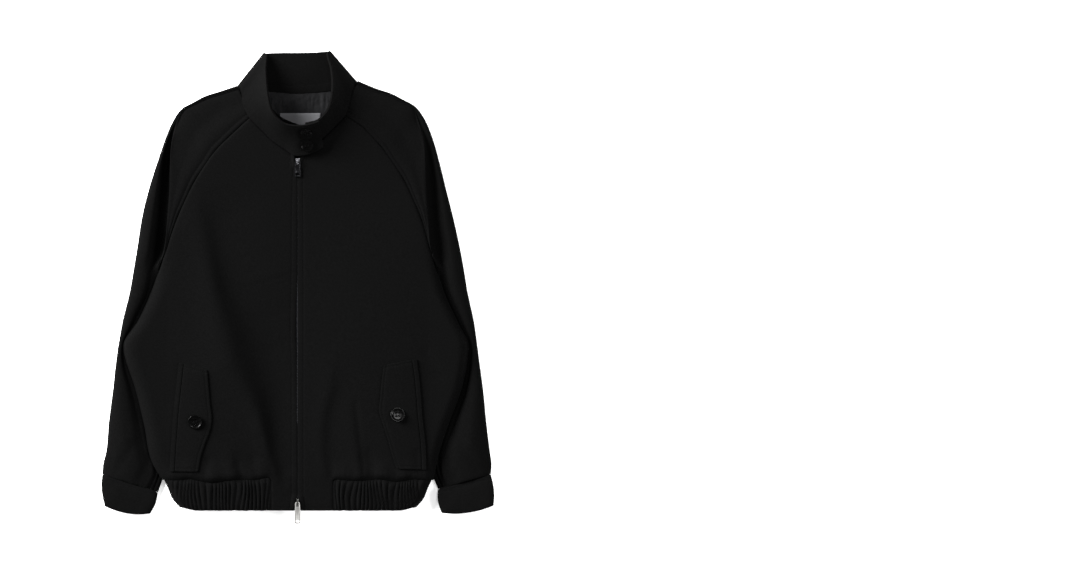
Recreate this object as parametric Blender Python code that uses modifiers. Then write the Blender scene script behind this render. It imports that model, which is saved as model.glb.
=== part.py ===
"""Oversized stand-collar blouson, laid flat on its back with the front up.

Lengths in the tables are garment millimetres: "out" is the distance from the centre front,
"up" is the distance from the hem's lower edge, "rise" is the height above the floor.
The left side of the garment view is side -1 and the right side is +1.
"""

import math

import bmesh
import bpy
from mathutils import Vector

# ---------------------------------------------------------------- driving dimensions (mm)
MM = 0.001
MIDDLE_OUT = 0.0            # garment x that becomes the origin
MIDDLE_UP = 368.4           # garment y that becomes the origin
WALL = 2.0                  # wool cloth of body and sleeves
BAND_WALL = 3.0             # doubled cloth of hem and cuffs
COLLAR_WALL = 3.4           # doubled and interlined collar
SEAM_GAP = 0.4              # between pieces that are sewn together
LAYER_GAP = 1.1             # between a piece and the panel it lies on

HEM_DEPTH = 50.0
ZIP_HALF_GAP = 1.0
ZIP_TOP = 584.0
ZIP_MOUTH = 560.0           # where the fronts start to part under the collar
ZIP_MOUTH_HALF = 5.0
TAPE_WIDTH = 11.0
TAPE_WALL = 1.2

CHEST_RISE = 26.0           # top of the front along the zip
CHEST_CROWN = 5.0           # extra rise half way to the side
ROLL_WIDTH = 38.0           # plan width of the rolled side edge
SLEEVE_LOW_RISE = 7.3       # top of the sleeve where the body lies on it
EDGE_RISE = 4.6             # top of the sleeve's folded outer edge
BACK_OVER_SLEEVE = 8.4      # underside of the back panel where it lies on the sleeve
EDGE_DROP = 32.0            # plan width in which the back panel climbs onto the sleeve

GATHER_PITCH = 12.0
GATHER_DEPTH = 1.4

# Front panel's outer edge from the hem to the neck, with the zip-edge station of each row.
FRONT_EDGE = [
    # name           left out, up    right out, up   zip up  edge rise
    ("hem seam",       221.0,  51.0,   222.0,  53.0,   51.0,  12.8),
    ("hem bulge",      238.0,  78.0,   229.0,  86.0,   80.0,  12.7),
    ("pocket foot",    252.0, 142.0,   246.0, 140.0,  135.0,  12.7),
    ("pocket head",    266.0, 200.0,   268.0, 200.0,  190.0,  12.7),
    ("side high",      285.0, 262.0,   278.0, 251.0,  245.0,  12.7),
    ("underarm",       285.0, 276.0,   279.0, 274.0,  268.0,  12.7),
    ("arm hollow",     262.0, 312.0,   262.0, 310.0,  308.0,  12.7),
    ("raglan end",     236.0, 371.0,   238.0, 363.0,  362.0,  12.9),
    ("raglan low",     219.0, 421.0,   218.0, 429.0,  412.0,  23.5),
    ("raglan middle",  198.0, 482.0,   203.0, 482.0,  458.0,  24.5),
    ("raglan high",    170.0, 541.0,   176.0, 543.0,  500.0,  25.0),
    ("shoulder",       134.0, 594.0,   137.0, 600.0,  540.0,  25.0),
    ("collar bone",    111.0, 617.0,   106.0, 632.0,  562.0,  24.5),
    ("neck",            81.0, 645.0,    81.0, 648.0,  584.0,  24.0),
]
FIRST_RAGLAN = 8            # index of "raglan low"

# Front neck seam from the zip to the raglan seam.
NECK_CURVE = [
    # left out, up   right out, up
    (5.0, 584.0,     5.0, 584.0),
    (18.0, 590.0,    18.0, 591.0),
    (41.0, 606.0,    45.0, 612.0),
    (63.0, 627.0,    62.0, 629.0),
    (81.0, 645.0,    81.0, 648.0),
]

# Back panel's outer edge from the hidden underarm to the neck (below it, the front's edge).
BACK_EDGE = [
    # name          out     up    centre up
    ("under hollow", 258.0, 320.0, 318.0),
    ("under raglan", 229.0, 374.0, 372.0),
    ("under front",  212.0, 398.0, 395.0),
    ("turn",         200.0, 415.0, 412.0),
    ("blade low",    188.0, 449.0, 445.0),
    ("kink",         167.0, 488.0, 485.0),
    ("blade",        163.0, 519.0, 515.0),
    ("blade high",   160.0, 562.0, 555.0),
    ("shoulder",     139.0, 612.0, 610.0),
    ("yoke",         115.0, 647.0, 645.0),
    ("neck",          78.0, 690.0, 685.6),
]

# Sleeve rows above the underarm hollow: they start on the raglan stations of FRONT_EDGE,
# halves included, from "neck" down to "raglan low".
SLEEVE_CAP = [
    # fold out, up    edge: left out, up   right out, up   fold rise  valley  crest
    (95.0, 683.0,     104.0, 698.0,        102.0, 706.0,   14.0,  10.0,  9.0),
    (118.0, 679.0,    128.0, 691.0,        128.0, 696.0,   13.0,  10.0,  9.0),
    (142.0, 675.0,    153.0, 683.0,        157.0, 686.0,   12.5,  10.0,  9.0),
    (161.0, 668.0,    174.0, 672.0,        172.0, 678.0,   12.5,  10.0,  9.0),
    (180.0, 659.0,    193.0, 661.0,        192.0, 667.0,   12.5,  10.0,  9.0),
    (197.0, 641.0,    206.0, 642.0,        207.0, 648.0,   13.5,  10.0,  9.5),
    (207.0, 610.0,    219.0, 612.0,        221.0, 616.0,   18.0,  11.0, 10.5),
    (210.0, 572.0,    231.0, 577.0,        233.0, 575.0,   22.5,  10.5, 12.5),
    (211.0, 530.0,    243.0, 540.0,        244.0, 530.0,   24.0,  10.0, 14.0),
    (214.0, 486.0,    256.0, 490.0,        257.0, 478.0,   24.2,  10.0, 15.0),
    (221.0, 426.0,    266.0, 428.0,        269.0, 422.0,   23.5,  10.0, 16.0),
]

# Sleeve rows from there to the cuff; "inner" is the seam that the body hides, and "fold" is
# below the body's own edge. Levels of the cuff seam row come from CUFF_SEAM.
SLEEVE_ARM = [
    # inner out, up,  left: fold out, up, edge out, up     right: the same
    (228.8, 396.3,    231.5, 396.0, 271.0, 398.0,          231.5, 396.0, 274.0, 394.0),
    (226.0, 384.0,    236.0, 371.0, 277.0, 363.0,          238.0, 363.0, 279.0, 363.0),
    (250.0, 314.0,    262.0, 311.0, 290.0, 308.0,          262.0, 310.0, 291.0, 306.0),
    (268.0, 274.0,    284.0, 272.0, 297.0, 268.0,          279.0, 272.0, 296.0, 269.0),
    (265.0, 240.0,    280.0, 240.0, 301.0, 238.0,          276.0, 240.0, 300.0, 238.0),
    (254.0, 200.0,    266.0, 200.0, 305.0, 201.0,          268.0, 200.0, 305.0, 201.0),
    (238.0, 141.0,    252.0, 141.0, 312.0, 146.0,          246.0, 140.0, 311.0, 140.0),
    (226.0, 95.0,     242.0, 94.0, 317.0, 94.0,            232.0, 95.0, 317.0, 92.0),
    (228.0, 62.0,     234.0, 62.0, 321.0, 78.0,            234.0, 64.0, 319.0, 78.0),
    (239.0, None,     246.0, None, 323.0, None,            244.0, None, 318.0, None),
]
SLEEVE_ARM_RISES = [
    # inner, fold, valley, crest
    (12.0, 11.0, 9.8, 15.5),
    (6.8, 7.2, 9.4, 15.0),
    (7.3, 7.3, 8.8, 12.0),
    (7.3, 7.3, 7.9, 9.4),
    (7.3, 7.3, 7.9, 10.2),
    (7.3, 7.3, 8.6, 13.5),
    (7.3, 7.3, 9.6, 16.0),
    (7.3, 7.5, 10.5, 17.0),
    (7.3, 8.2, 11.5, 16.0),
    (7.3, 8.6, 12.5, 15.0),
]

# Seam of the outer and the under sleeve on the floor side, a row for each sleeve row.
SLEEVE_BACK_SEAM = [
    (78.0, 690.0), (96.5, 668.5), (115.0, 647.0), (127.0, 629.5), (139.0, 612.0), (149.5, 587.0),
    (160.0, 562.0), (163.0, 519.0), (167.0, 488.0), (188.0, 449.0), (200.0, 415.0),
    (206.0, 396.0), (214.0, 370.0), (228.0, 312.0), (238.0, 270.0), (244.5, 240.0),
    (252.5, 200.0), (265.0, 140.0), (274.0, 95.0), (280.0, 66.0), (283.0, 46.5),
]

# Fold of the under sleeve below the body, and where its upper part ends.
UNDER_SLEEVE = [
    # up, fold out, upper seam out, floor seam out, up
    (384.0, 187.0, 226.0, 206.0, 396.0),
    (349.0, 172.0, 238.0, 214.0, 370.0),
    (314.0, 165.0, 250.0, 228.0, 312.0),
    (274.0, 167.0, 268.0, 238.0, 270.0),
    (240.0, 174.0, 265.0, 244.5, 240.0),
    (200.0, 182.0, 254.0, 252.5, 200.0),
    (141.0, 199.0, 238.0, 265.0, 140.0),
    (95.0, 212.0, 226.0, 274.0, 95.0),
    (62.0, 220.0, 228.0, 280.0, 66.0),
    (30.0, 231.0, 239.0, 283.0, 46.5),
]

# Soft troughs that cross a front: both ends, half width and depth.
FRONT_FOLDS = [
    # side, out, up,     out, up,      half width, depth
    (-1, 153.0, 511.0, 140.0, 297.0, 20.0, 2.2),
    (-1, 140.0, 297.0, 87.0, 201.0, 20.0, 2.6),
    (-1, 87.0, 201.0, 33.0, 36.0, 18.0, 3.0),
    (-1, 120.0, 91.0, 107.0, 50.0, 14.0, 2.4),
    (1, 53.0, 236.0, 40.0, 119.0, 18.0, 2.4),
    (1, 40.0, 119.0, 51.0, 53.0, 16.0, 2.8),
    (1, 90.0, 162.0, 107.0, 63.0, 16.0, 2.6),
    (1, 152.0, 82.0, 163.0, 58.0, 12.0, 1.8),
]

HEM_PLAIN_WIDTH = {-1: 43.0, 1: 58.0}
HEM_CORNER = [
    # out,  up    of the hem's side from the seam down, then along the lower edge
    (220.5, 50.4), (214.0, 36.0), (207.0, 19.0), (195.0, 5.0),
]

# Collar strip from the tab's end round the neck to the end below the tab.
COLLAR_FRONT_TAB_SIDE = [
    # base x, y, rise      top x, y, rise
    (43.0, 596.0, 35.5, 37.5, 640.0, 59.0),
    (16.0, 586.0, 34.0, 23.0, 635.0, 60.0),
    (-5.0, 584.5, 32.0, 3.0, 632.0, 60.0),
    (-18.5, 593.0, 29.5, -16.0, 634.0, 59.0),
    (-40.5, 608.0, 28.0, -33.0, 645.0, 58.0),
    (-62.0, 629.0, 27.0, -43.0, 660.0, 56.0),
    (-79.5, 647.0, 26.0, -48.0, 681.0, 51.0),
    (-89.0, 664.0, 22.0, -51.0, 702.0, 41.0),
    (-93.5, 682.0, 15.5, -53.0, 728.0, 24.0),
]
COLLAR_FRONT_FAR_SIDE = [
    (90.5, 683.0, 15.5, 56.0, 728.0, 24.0),
    (84.0, 665.0, 22.0, 59.0, 702.0, 40.0),
    (78.0, 649.5, 26.0, 58.0, 684.0, 48.0),
    (60.5, 631.0, 26.5, 55.0, 668.0, 51.0),
    (44.0, 615.0, 27.0, 49.0, 655.0, 52.5),
    (26.0, 602.0, 27.2, 34.0, 641.0, 53.0),
    (10.0, 594.0, 27.2, 14.0, 636.0, 53.0),
]
COLLAR_BACK = [
    # base x, y      top x, y, all on the floor
    (-72.0, 692.5, -46.0, 754.0), (-36.0, 688.6, -24.0, 754.5), (0.0, 686.6, 0.0, 754.5),
    (36.0, 688.6, 24.0, 755.0), (72.0, 694.0, 44.0, 756.5),
]
COLLAR_CORNER = {-1: (-98.5, 697.8, -54.0, 754.0), 1: (96.0, 703.9, 50.0, 757.0)}
COLLAR_FOLD_RISE = 7.6
COLLAR_SAG = 0.14           # how much later the band rises than a straight one

# Pocket flap: shaped free edge (towards the zip) and sewn edge, a row for each station.
POCKET_FLAP = [
    # left: free out, up, sewn out, up      right: the same
    (148.0, 232.0, 187.0, 242.0,   142.0, 240.0, 188.0, 249.0),
    (146.0, 206.0, 190.0, 214.0,   138.0, 207.0, 192.5, 216.0),
    (144.0, 181.0, 193.0, 187.0,   136.0, 184.0, 195.0, 188.0),
    (141.0, 148.0, 196.5, 152.0,   134.5, 162.0, 197.0, 160.0),
    (143.0, 135.0, 197.5, 136.0,   139.0, 147.0, 198.5, 145.0),
    (153.0, 107.0, 199.5, 108.0,   149.0, 116.0, 202.0, 114.0),
    (160.0, 84.0, 201.0, 84.0,     156.0, 90.0, 203.5, 88.0),
    (163.0, 64.0, 202.0, 64.5,     163.0, 69.0, 204.0, 67.5),
]
WELT_WIDTH = 8.0

# Turned buttons.
COLLAR_BUTTON, POCKET_BUTTON, CUFF_BUTTON = 21.0, 23.0, 19.0
BUTTON_HEIGHT = 2.8

# Zip slider and pull.
SLIDER_WIDTH, SLIDER_LENGTH, SLIDER_PLATE = 8.6, 12.0, 1.5
BAIL_LENGTH, BAIL_WIDTH, BAIL_STOCK, BAIL_HOLE = 9.0, 2.4, 1.6, 2.3
PULL_WALL = 1.2
PULL_BAR = 1.6
PULL_WINDOW_HALF = 2.1
PULL_WINDOW = 6.0
PULL_TILT = math.radians(3.0)
TOP_SLIDER_UP, TOP_PULL = 574.0, (25.0, 8.6, 11.4)
BOTTOM_SLIDER_UP, BOTTOM_PULL = 13.5, (35.0, 7.4, 11.0)

WOOL = (0.012, 0.012, 0.0125, 1.0)
LINING = (0.028, 0.028, 0.030, 1.0)
LABEL = (0.16, 0.16, 0.165, 1.0)
HORN = (0.010, 0.010, 0.011, 1.0)
TAPE = (0.010, 0.010, 0.011, 1.0)
GUNMETAL = (0.09, 0.09, 0.095, 1.0)
NICKEL = (0.75, 0.75, 0.76, 1.0)


# ---------------------------------------------------------------- scene and materials
def clear_scene():
    for old in list(bpy.data.objects):
        bpy.data.objects.remove(old, do_unlink=True)


def new_collection(name, hidden=False):
    group = bpy.data.collections.new(name)
    bpy.context.scene.collection.children.link(group)
    group.hide_render = hidden
    return group


def material(name, colour, roughness, metallic=0.0):
    made = bpy.data.materials.new(name)
    made.use_nodes = True
    shader = made.node_tree.nodes["Principled BSDF"]
    shader.inputs["Base Color"].default_value = colour
    shader.inputs["Roughness"].default_value = roughness
    shader.inputs["Metallic"].default_value = metallic
    return made


def add_object(name, mesh, look, group=None):
    made = bpy.data.objects.new(name, mesh)
    if look:
        mesh.materials.append(look)
    (group or parts).objects.link(made)
    return made


# ---------------------------------------------------------------- numbers
def clamp(value):
    return min(max(value, 0.0), 1.0)


def ease(value):
    value = clamp(value)
    return value * value * (3.0 - 2.0 * value)


def mix(first, second, share):
    return first + (second - first) * share


def table_value(rows, key):
    """Linear value of a table of (key, value) rows sorted by key."""
    if key <= rows[0][0]:
        return rows[0][1]
    for (low, first), (high, second) in zip(rows, rows[1:]):
        if key <= high:
            return mix(first, second, (key - low) / (high - low))
    return rows[-1][1]


def with_halves(points):
    """The points with the middle of each stretch put in between."""
    denser = [points[0]]
    for first, second in zip(points, points[1:]):
        denser.append(tuple(mix(a, b, 0.5) for a, b in zip(first, second)))
        denser.append(second)
    return denser


def place(out, up, rise):
    """Garment millimetres to metres in the part's frame."""
    return Vector(((out - MIDDLE_OUT) * MM, (up - MIDDLE_UP) * MM, rise * MM))


# ---------------------------------------------------------------- cloth walls
def cloth_wall(name, rows, wall, look, face_up, closed=False):
    """A wall whose outer face is the grid of points; its thickness goes to the other side.

    face_up tells which way the outer face looks; None is for a wall that bends round a hollow.
    """
    mesh = bpy.data.meshes.new(name)
    made = bmesh.new()
    grid = [[made.verts.new(place(*point)) for point in row] for row in rows]
    across = len(rows[0])
    steps = across if closed else across - 1
    for low, high in zip(grid, grid[1:]):
        for col in range(steps):
            nxt = (col + 1) % across
            made.faces.new((low[col], low[nxt], high[nxt], high[col]))
    made.normal_update()
    faces = made.faces[:]
    if face_up is None:
        centre = sum((vert.co for vert in made.verts), Vector()) / len(made.verts)
        outward = sum((face.calc_center_median() - centre).dot(face.normal) * face.calc_area()
                      for face in faces) > 0.0
    else:
        outward = (sum(face.normal.z * face.calc_area() for face in faces) > 0.0) == face_up
    if not outward:
        bmesh.ops.reverse_faces(made, faces=faces)
    made.to_mesh(mesh)
    made.free()
    piece = add_object(name, mesh, look)
    shell = piece.modifiers.new("wall", "SOLIDIFY")
    shell.thickness = wall * MM
    shell.offset = -1.0
    shell.use_even_offset = False
    return piece


def segment_trough(out, up, fold):
    """Depth at a place of one fold, fading across it and at its ends."""
    _, first_out, first_up, last_out, last_up, half, depth = fold
    run_out, run_up = last_out - first_out, last_up - first_up
    length = math.hypot(run_out, run_up)
    share = ((out - first_out) * run_out + (up - first_up) * run_up) / length ** 2
    nearest = clamp(share)
    away = math.hypot(out - first_out - run_out * nearest, up - first_up - run_up * nearest)
    return depth * math.exp(-(away / half) ** 2)


def front_plateau(side, out, up):
    """Top of a front where its side edge is not rolled."""
    crown_up = table_value([(0.0, 0.3), (60.0, 0.6), (250.0, 1.0), (400.0, 0.5), (520.0, 0.0)], up)
    crown = CHEST_CROWN * math.sin(math.pi * clamp(out / 215.0)) * crown_up
    hem_fall = table_value([(0.0, -3.0), (60.0, -0.5), (120.0, 0.0)], up)
    troughs = sum(segment_trough(out, up, fold) for fold in FRONT_FOLDS if fold[0] == side)
    return CHEST_RISE + hem_fall + crown - min(troughs, 3.4)


def rolled(edge_rise, flat_rise, away, width=ROLL_WIDTH):
    """Rise at a distance from an edge that rolls down to edge_rise."""
    return mix(edge_rise, flat_rise, math.sin(0.5 * math.pi * clamp(away / width)) ** 0.9)


def side_points(side):
    """Outer edge of a front as (out, up, zip up, edge rise), halves included."""
    rows = []
    for _, left_out, left_up, right_out, right_up, zip_up, edge in FRONT_EDGE:
        rows.append((left_out, left_up, zip_up, edge) if side < 0
                    else (right_out, right_up, zip_up, edge))
    return with_halves(rows)


def neck_point(side, share):
    """Point of the front neck seam, share 0 at the zip and 1 at the raglan seam."""
    curve = [(row[0], row[1]) if side < 0 else (row[2], row[3]) for row in NECK_CURVE]
    place_on = share * (len(curve) - 1)
    low = min(int(place_on), len(curve) - 2)
    return tuple(mix(a, b, place_on - low) for a, b in zip(curve[low], curve[low + 1]))


def zip_half_gap(up):
    return mix(ZIP_HALF_GAP, ZIP_MOUTH_HALF, ease((up - ZIP_MOUTH) / (ZIP_TOP - ZIP_MOUTH)))


FRONT_COLUMNS = (0.0, 0.14, 0.3, 0.46, 0.61, 0.74, 0.84, 0.92, 0.97, 1.0)


def front_rise(side, out, up, edge_out, edge_up, edge_rise):
    """Top of a front at a place, rolled down towards its own outer edge."""
    away = math.hypot(edge_out - out, edge_up - up)
    return rolled(edge_rise, front_plateau(side, out, up), away)


def front_rows(side):
    stations = side_points(side)
    rows = []
    for index, (edge_out, edge_up, zip_up, edge_rise) in enumerate(stations):
        inner_out = zip_half_gap(zip_up)
        bend = ease((index - 2 * FIRST_RAGLAN) / (len(stations) - 1.0 - 2 * FIRST_RAGLAN))
        row = []
        for share in FRONT_COLUMNS:
            out, up = mix(inner_out, edge_out, share), mix(zip_up, edge_up, share)
            neck_out, neck_up = neck_point(side, share)
            chord_out, chord_up = mix(5.0, 81.0, share), mix(584.0, stations[-1][1], share)
            out += (neck_out - chord_out) * bend
            up += (neck_up - chord_up) * bend
            row.append((side * out, up, front_rise(side, out, up, edge_out, edge_up, edge_rise)))
        rows.append(row)
    return rows


def sleeve_inner_out(up):
    """Distance out of the under sleeve's hidden fold."""
    return table_value(sorted((row[0], row[1]) for row in UNDER_SLEEVE), up)


def back_rise(out, up):
    """Underside of the back panel: on the floor, and climbing onto the sleeve at the side."""
    strength = table_value([(8.0, 0.0), (30.0, 0.35), (50.0, 0.76), (58.0, 1.0)], up)
    strength *= 1.0 - ease((up - 385.0) / 60.0)
    start = sleeve_inner_out(up) - EDGE_DROP
    return BACK_OVER_SLEEVE * strength * ease((out - start) / (EDGE_DROP - 3.0))


CLIMB_SHARES = (0.0, 0.3, 0.5, 0.7, 1.0)


def back_rows(side):
    below = [(out, up, zip_up) for out, up, zip_up, _ in side_points(side)[:11]]
    stations = below + [(out, up, centre) for _, out, up, centre in BACK_EDGE]
    rows = []
    for edge_out, edge_up, centre_up in stations:
        start = min(sleeve_inner_out(edge_up) - EDGE_DROP, edge_out - EDGE_DROP - 2.0)
        climb = [start + share * (EDGE_DROP - 3.0) for share in CLIMB_SHARES]
        row = []
        for out in [0.2, 0.5 * start] + climb + [0.5 * (climb[-1] + edge_out), edge_out]:
            up = mix(centre_up, edge_up, out / edge_out)
            row.append((side * out, up, back_rise(out, up)))
        rows.append(row)
    return rows


def cuff_seam_up(side, out):
    """Level of the straight seam between sleeve and cuff."""
    inner_out, inner_up, outer_out, outer_up = CUFF_SEAM[side]
    return mix(inner_up, outer_up, (out - inner_out) / (outer_out - inner_out))


def on_cuff_seam(side, out):
    """Place of a sleeve's lower edge, just clear of the cuff."""
    return out, cuff_seam_up(side, out) + 2.0 * SEAM_GAP


def sleeve_stations(side):
    """Rows of the sleeve's upper layer: inner, fold and outer places with four rises."""
    raglan = side_points(side)[2 * FIRST_RAGLAN:][::-1]
    stations = []
    for (in_out, in_up, _, in_rise), cap in zip(raglan, SLEEVE_CAP):
        fold_out, fold_up, left_out, left_up, right_out, right_up, fold, valley, crest = cap
        edge = (left_out, left_up) if side < 0 else (right_out, right_up)
        stations.append(((in_out + SEAM_GAP, in_up + SEAM_GAP), (fold_out, fold_up), edge,
                         (in_rise, fold, valley, crest)))
    for row, rises in zip(SLEEVE_ARM, SLEEVE_ARM_RISES):
        places = (row[:2], row[2:4], row[4:6]) if side < 0 else (row[:2], row[6:8], row[8:])
        inner, fold, edge = (on_cuff_seam(side, out) if up is None else (out, up)
                             for out, up in places)
        stations.append((inner, fold, edge, rises))
    return stations


def sleeve_profile(inner, fold, edge, rises):
    """Points of one sleeve row from the inner seam over the fold to the outer edge."""
    in_rise, fold_rise, valley, crest = rises
    span = math.hypot(edge[0] - fold[0], edge[1] - fold[1])
    plateau = math.hypot(fold[0] - inner[0], fold[1] - inner[1])
    lip = min(4.0, 0.3 * plateau)
    dip = min(9.0, 0.3 * span)
    points = [(inner, in_rise), ((mix(inner[0], fold[0], 0.5), mix(inner[1], fold[1], 0.5)),
                                 mix(in_rise, fold_rise, 0.5) + 0.3)]
    share = 1.0 - lip / plateau
    points.append(((mix(inner[0], fold[0], share), mix(inner[1], fold[1], share)), fold_rise))

    def beyond(distance, rise):
        part = distance / span
        points.append(((mix(fold[0], edge[0], part), mix(fold[1], edge[1], part)), rise))

    beyond(0.0, fold_rise - (0.9 if fold_rise > valley + 3.0 else 0.0))
    beyond(0.4 * dip, mix(fold_rise, valley, 0.62))
    beyond(dip, valley)
    beyond(dip + 0.22 * (span - dip), mix(valley, crest, 0.7))
    for part in (0.42, 0.64, 0.82, 0.94, 1.0):
        turn = (part - 0.42) / 0.58
        beyond(dip + part * (span - dip),
               EDGE_RISE + (crest - EDGE_RISE) * math.sqrt(max(0.0, 1.0 - turn ** 2.4)))
    return points


def sleeve_front_rows(side):
    rows = []
    for inner, fold, edge, rises in sleeve_stations(side):
        rows.append([(side * out, up, rise)
                     for (out, up), rise in sleeve_profile(inner, fold, edge, rises)])
    return rows


def sleeve_back_rows(side):
    rows = []
    for (_, _, edge, _), (seam_out, seam_up) in zip(sleeve_stations(side), SLEEVE_BACK_SEAM):
        inner = (seam_out + SEAM_GAP, seam_up)
        if (seam_out, seam_up) == SLEEVE_BACK_SEAM[-1]:
            inner = on_cuff_seam(side, inner[0])
        rows.append([(side * mix(inner[0], edge[0], share), mix(inner[1], edge[1], share), 0.0)
                     for share in (0.0, 0.5, 1.0)])
    return rows


def under_sleeve_rows(side):
    """The under sleeve from the floor seam round its hidden fold to the upper seam."""
    top = SLEEVE_LOW_RISE
    rows = []
    for up, fold, upper, floor_out, floor_up in UNDER_SLEEVE:
        profile = [(floor_out - SEAM_GAP, 0.0), (fold + 6.0, 0.0), (fold + 1.7, 0.8),
                   (fold, 0.5 * top), (fold + 1.7, top - 0.8), (fold + 5.5, top),
                   (upper - SEAM_GAP, top)]
        row = []
        for out, rise in profile:
            here = mix(up, floor_up, (out - fold) / (floor_out - fold)) if rise < 1.0 else up
            if up < 40.0:
                _, here = on_cuff_seam(side, out)
            row.append((side * out, here, rise))
        rows.append(row)
    return rows


# ---------------------------------------------------------------- hem
def hem_wave(out):
    return 0.5 * GATHER_DEPTH * math.sin(2.0 * math.pi * out / GATHER_PITCH)


def hem_row_end(share):
    """Side end of the hem at a share of its depth, 0 at the seam."""
    place_on = share * (len(HEM_CORNER) - 1)
    low = min(int(place_on), len(HEM_CORNER) - 2)
    return tuple(mix(a, b, place_on - low) for a, b in zip(HEM_CORNER[low], HEM_CORNER[low + 1]))


def hem_front_rise(side, out, up, end_out, depth_share):
    """Top of the front hem band: level with the front, rolled down at the side."""
    edge = mix(13.2, 7.6, depth_share)
    return rolled(edge, front_plateau(side, out, up), end_out - out)


def hem_columns(first, last, pitch):
    count = int(round((last - first) / pitch))
    return [index / count for index in range(count + 1)]


def gathered_front_rows(side):
    first = HEM_PLAIN_WIDTH[side] + SEAM_GAP
    rows = []
    for share in (0.0, 0.35, 0.7, 1.0):
        end_out, end_up = hem_row_end(share)
        row = []
        for part in hem_columns(first, 218.0, GATHER_PITCH / 3.0):
            out = mix(first, end_out, part)
            level = HEM_DEPTH - SEAM_GAP - share * (HEM_DEPTH - SEAM_GAP)
            up = mix(level, end_up, ease((part - 0.8) / 0.2))
            rise = hem_front_rise(side, out, up, end_out, share)
            swell = hem_wave(out) * clamp((1.0 - part) * 12.0)
            row.append((side * out, up, rise + swell))
        rows.append(row)
    return rows


def plain_hem_rows(side):
    width = HEM_PLAIN_WIDTH[side]
    rows = []
    for up, notch in ((HEM_DEPTH - SEAM_GAP, 0.0), (30.0, 0.0), (14.0, 0.0), (0.0, 3.0)):
        inner = ZIP_HALF_GAP + notch
        row = []
        for share in (0.0, 0.2, 0.5, 1.0):
            out = mix(inner, width, share)
            row.append((side * out, up, front_plateau(side, out, up)))
        rows.append(row)
    return rows


def gathered_back_rows():
    rows = []
    for share in (0.0, 0.5, 1.0):
        end_out, end_up = hem_row_end(share)
        level = HEM_DEPTH - SEAM_GAP - share * (HEM_DEPTH - SEAM_GAP)
        row = []
        for part in hem_columns(-1.0, 1.0, GATHER_PITCH / 3.0 / 218.0):
            spread = mix(-1.0, 1.0, part)
            out = abs(spread) * end_out
            up = mix(level, end_up, ease((abs(spread) - 0.8) / 0.2))
            wave = max(0.0, 0.5 * GATHER_DEPTH + hem_wave(spread * end_out))
            wave *= clamp((1.0 - abs(spread)) * 12.0)
            row.append((spread * end_out, up, back_rise(out, up) + wave))
        rows.append(row)
    return rows


# ---------------------------------------------------------------- cuffs
CUFF_FLOOR = 5.7
CUFF_TOP = 18.0
CUFF_TAB_RISE = 3.1
CUFF_SEAM = {
    # inner out, up, outer out, up
    -1: (231.5, 29.0, 322.5, 59.0),
    1: (230.5, 34.0, 318.0, 59.0),
}
CUFF_END = {-1: (243.5, -5.0, 318.0, 7.0), 1: (237.0, -4.0, 322.5, 8.0)}
CUFF_BULGE = 3.0
CUFF_DIP = 6.0
CUFF_ROWS = (
    # depth share, low rise, top rise
    (0.0, 0.0, 15.0),
    (0.06, 0.3, 15.3),
    (0.24, CUFF_FLOOR, 17.0),
    (0.5, CUFF_FLOOR, CUFF_TOP),
    (1.0, CUFF_FLOOR, CUFF_TOP),
)
CUFF_TAB_SPAN = (
    # depth share, from and to as shares of the cuff's width
    (0.3, 0.32, 0.84),
    (0.6, 0.34, 0.9),
    (0.98, 0.42, 0.86),
)


def cuff_point(side, depth, share):
    """A place on the cuff: depth from seam to opening, share from inner to outer edge."""
    in_out, in_up, end_out, end_up = (mix(a, b, depth) for a, b in zip(CUFF_SEAM[side], CUFF_END[side]))
    bulge = CUFF_BULGE * math.sin(math.pi * depth) * (2.0 * share - 1.0)
    dip = CUFF_DIP * 4.0 * share * (1.0 - share) * depth
    return mix(in_out, end_out, share) + bulge, mix(in_up, end_up, share) - dip


def cuff_rows(side):
    """Closed bands round the wrist, from the sleeve seam to the opening."""
    rows = []
    for depth, low, top in CUFF_ROWS:
        row = []
        for step in range(20):
            angle = 2.0 * math.pi * (step + 0.5) / 20.0
            across = math.copysign(abs(math.cos(angle)) ** 0.55, math.cos(angle))
            height = math.copysign(abs(math.sin(angle)) ** 0.5, math.sin(angle))
            out, up = cuff_point(side, depth, 0.5 + 0.5 * across)
            row.append((side * out, up, mix(low, top, 0.5 + 0.5 * height)))
        rows.append(row)
    return rows


def cuff_tab_rows(side):
    rows = []
    for depth, first, last in CUFF_TAB_SPAN:
        row = []
        for share in (first, 0.5 * (first + last), last):
            out, up = cuff_point(side, depth, share)
            row.append((side * out, up, CUFF_TAB_RISE))
        rows.append(row)
    return rows


# ---------------------------------------------------------------- collar
def collar_rows():
    """Base row and top row of the strip, with the folded corners rounded."""
    strip = [row for row in COLLAR_FRONT_TAB_SIDE]

    def corner(side, order):
        base_x, base_y, top_x, top_y = COLLAR_CORNER[side]
        fold = [(base_x, base_y, COLLAR_FOLD_RISE, top_x, top_y, COLLAR_FOLD_RISE),
                (base_x + side * 2.6, base_y + 1.2, 0.5 * COLLAR_FOLD_RISE,
                 top_x + side * 2.6, top_y + 1.2, 0.5 * COLLAR_FOLD_RISE),
                (base_x, base_y, 0.0, top_x, top_y, 0.0)]
        strip.extend(fold[::order])

    corner(-1, 1)
    strip.extend((bx, by, 0.0, tx, ty, 0.0) for bx, by, tx, ty in COLLAR_BACK)
    corner(1, -1)
    strip.extend(COLLAR_FRONT_FAR_SIDE)
    rows = []
    for share in (0.0, 0.25, 0.5, 0.75, 1.0):
        sag = COLLAR_SAG * math.sin(math.pi * share)
        rows.append([(mix(bx, tx, share), mix(by, ty, share), mix(bz, tz, share - sag))
                     for bx, by, bz, tx, ty, tz in strip])
    return rows


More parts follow.
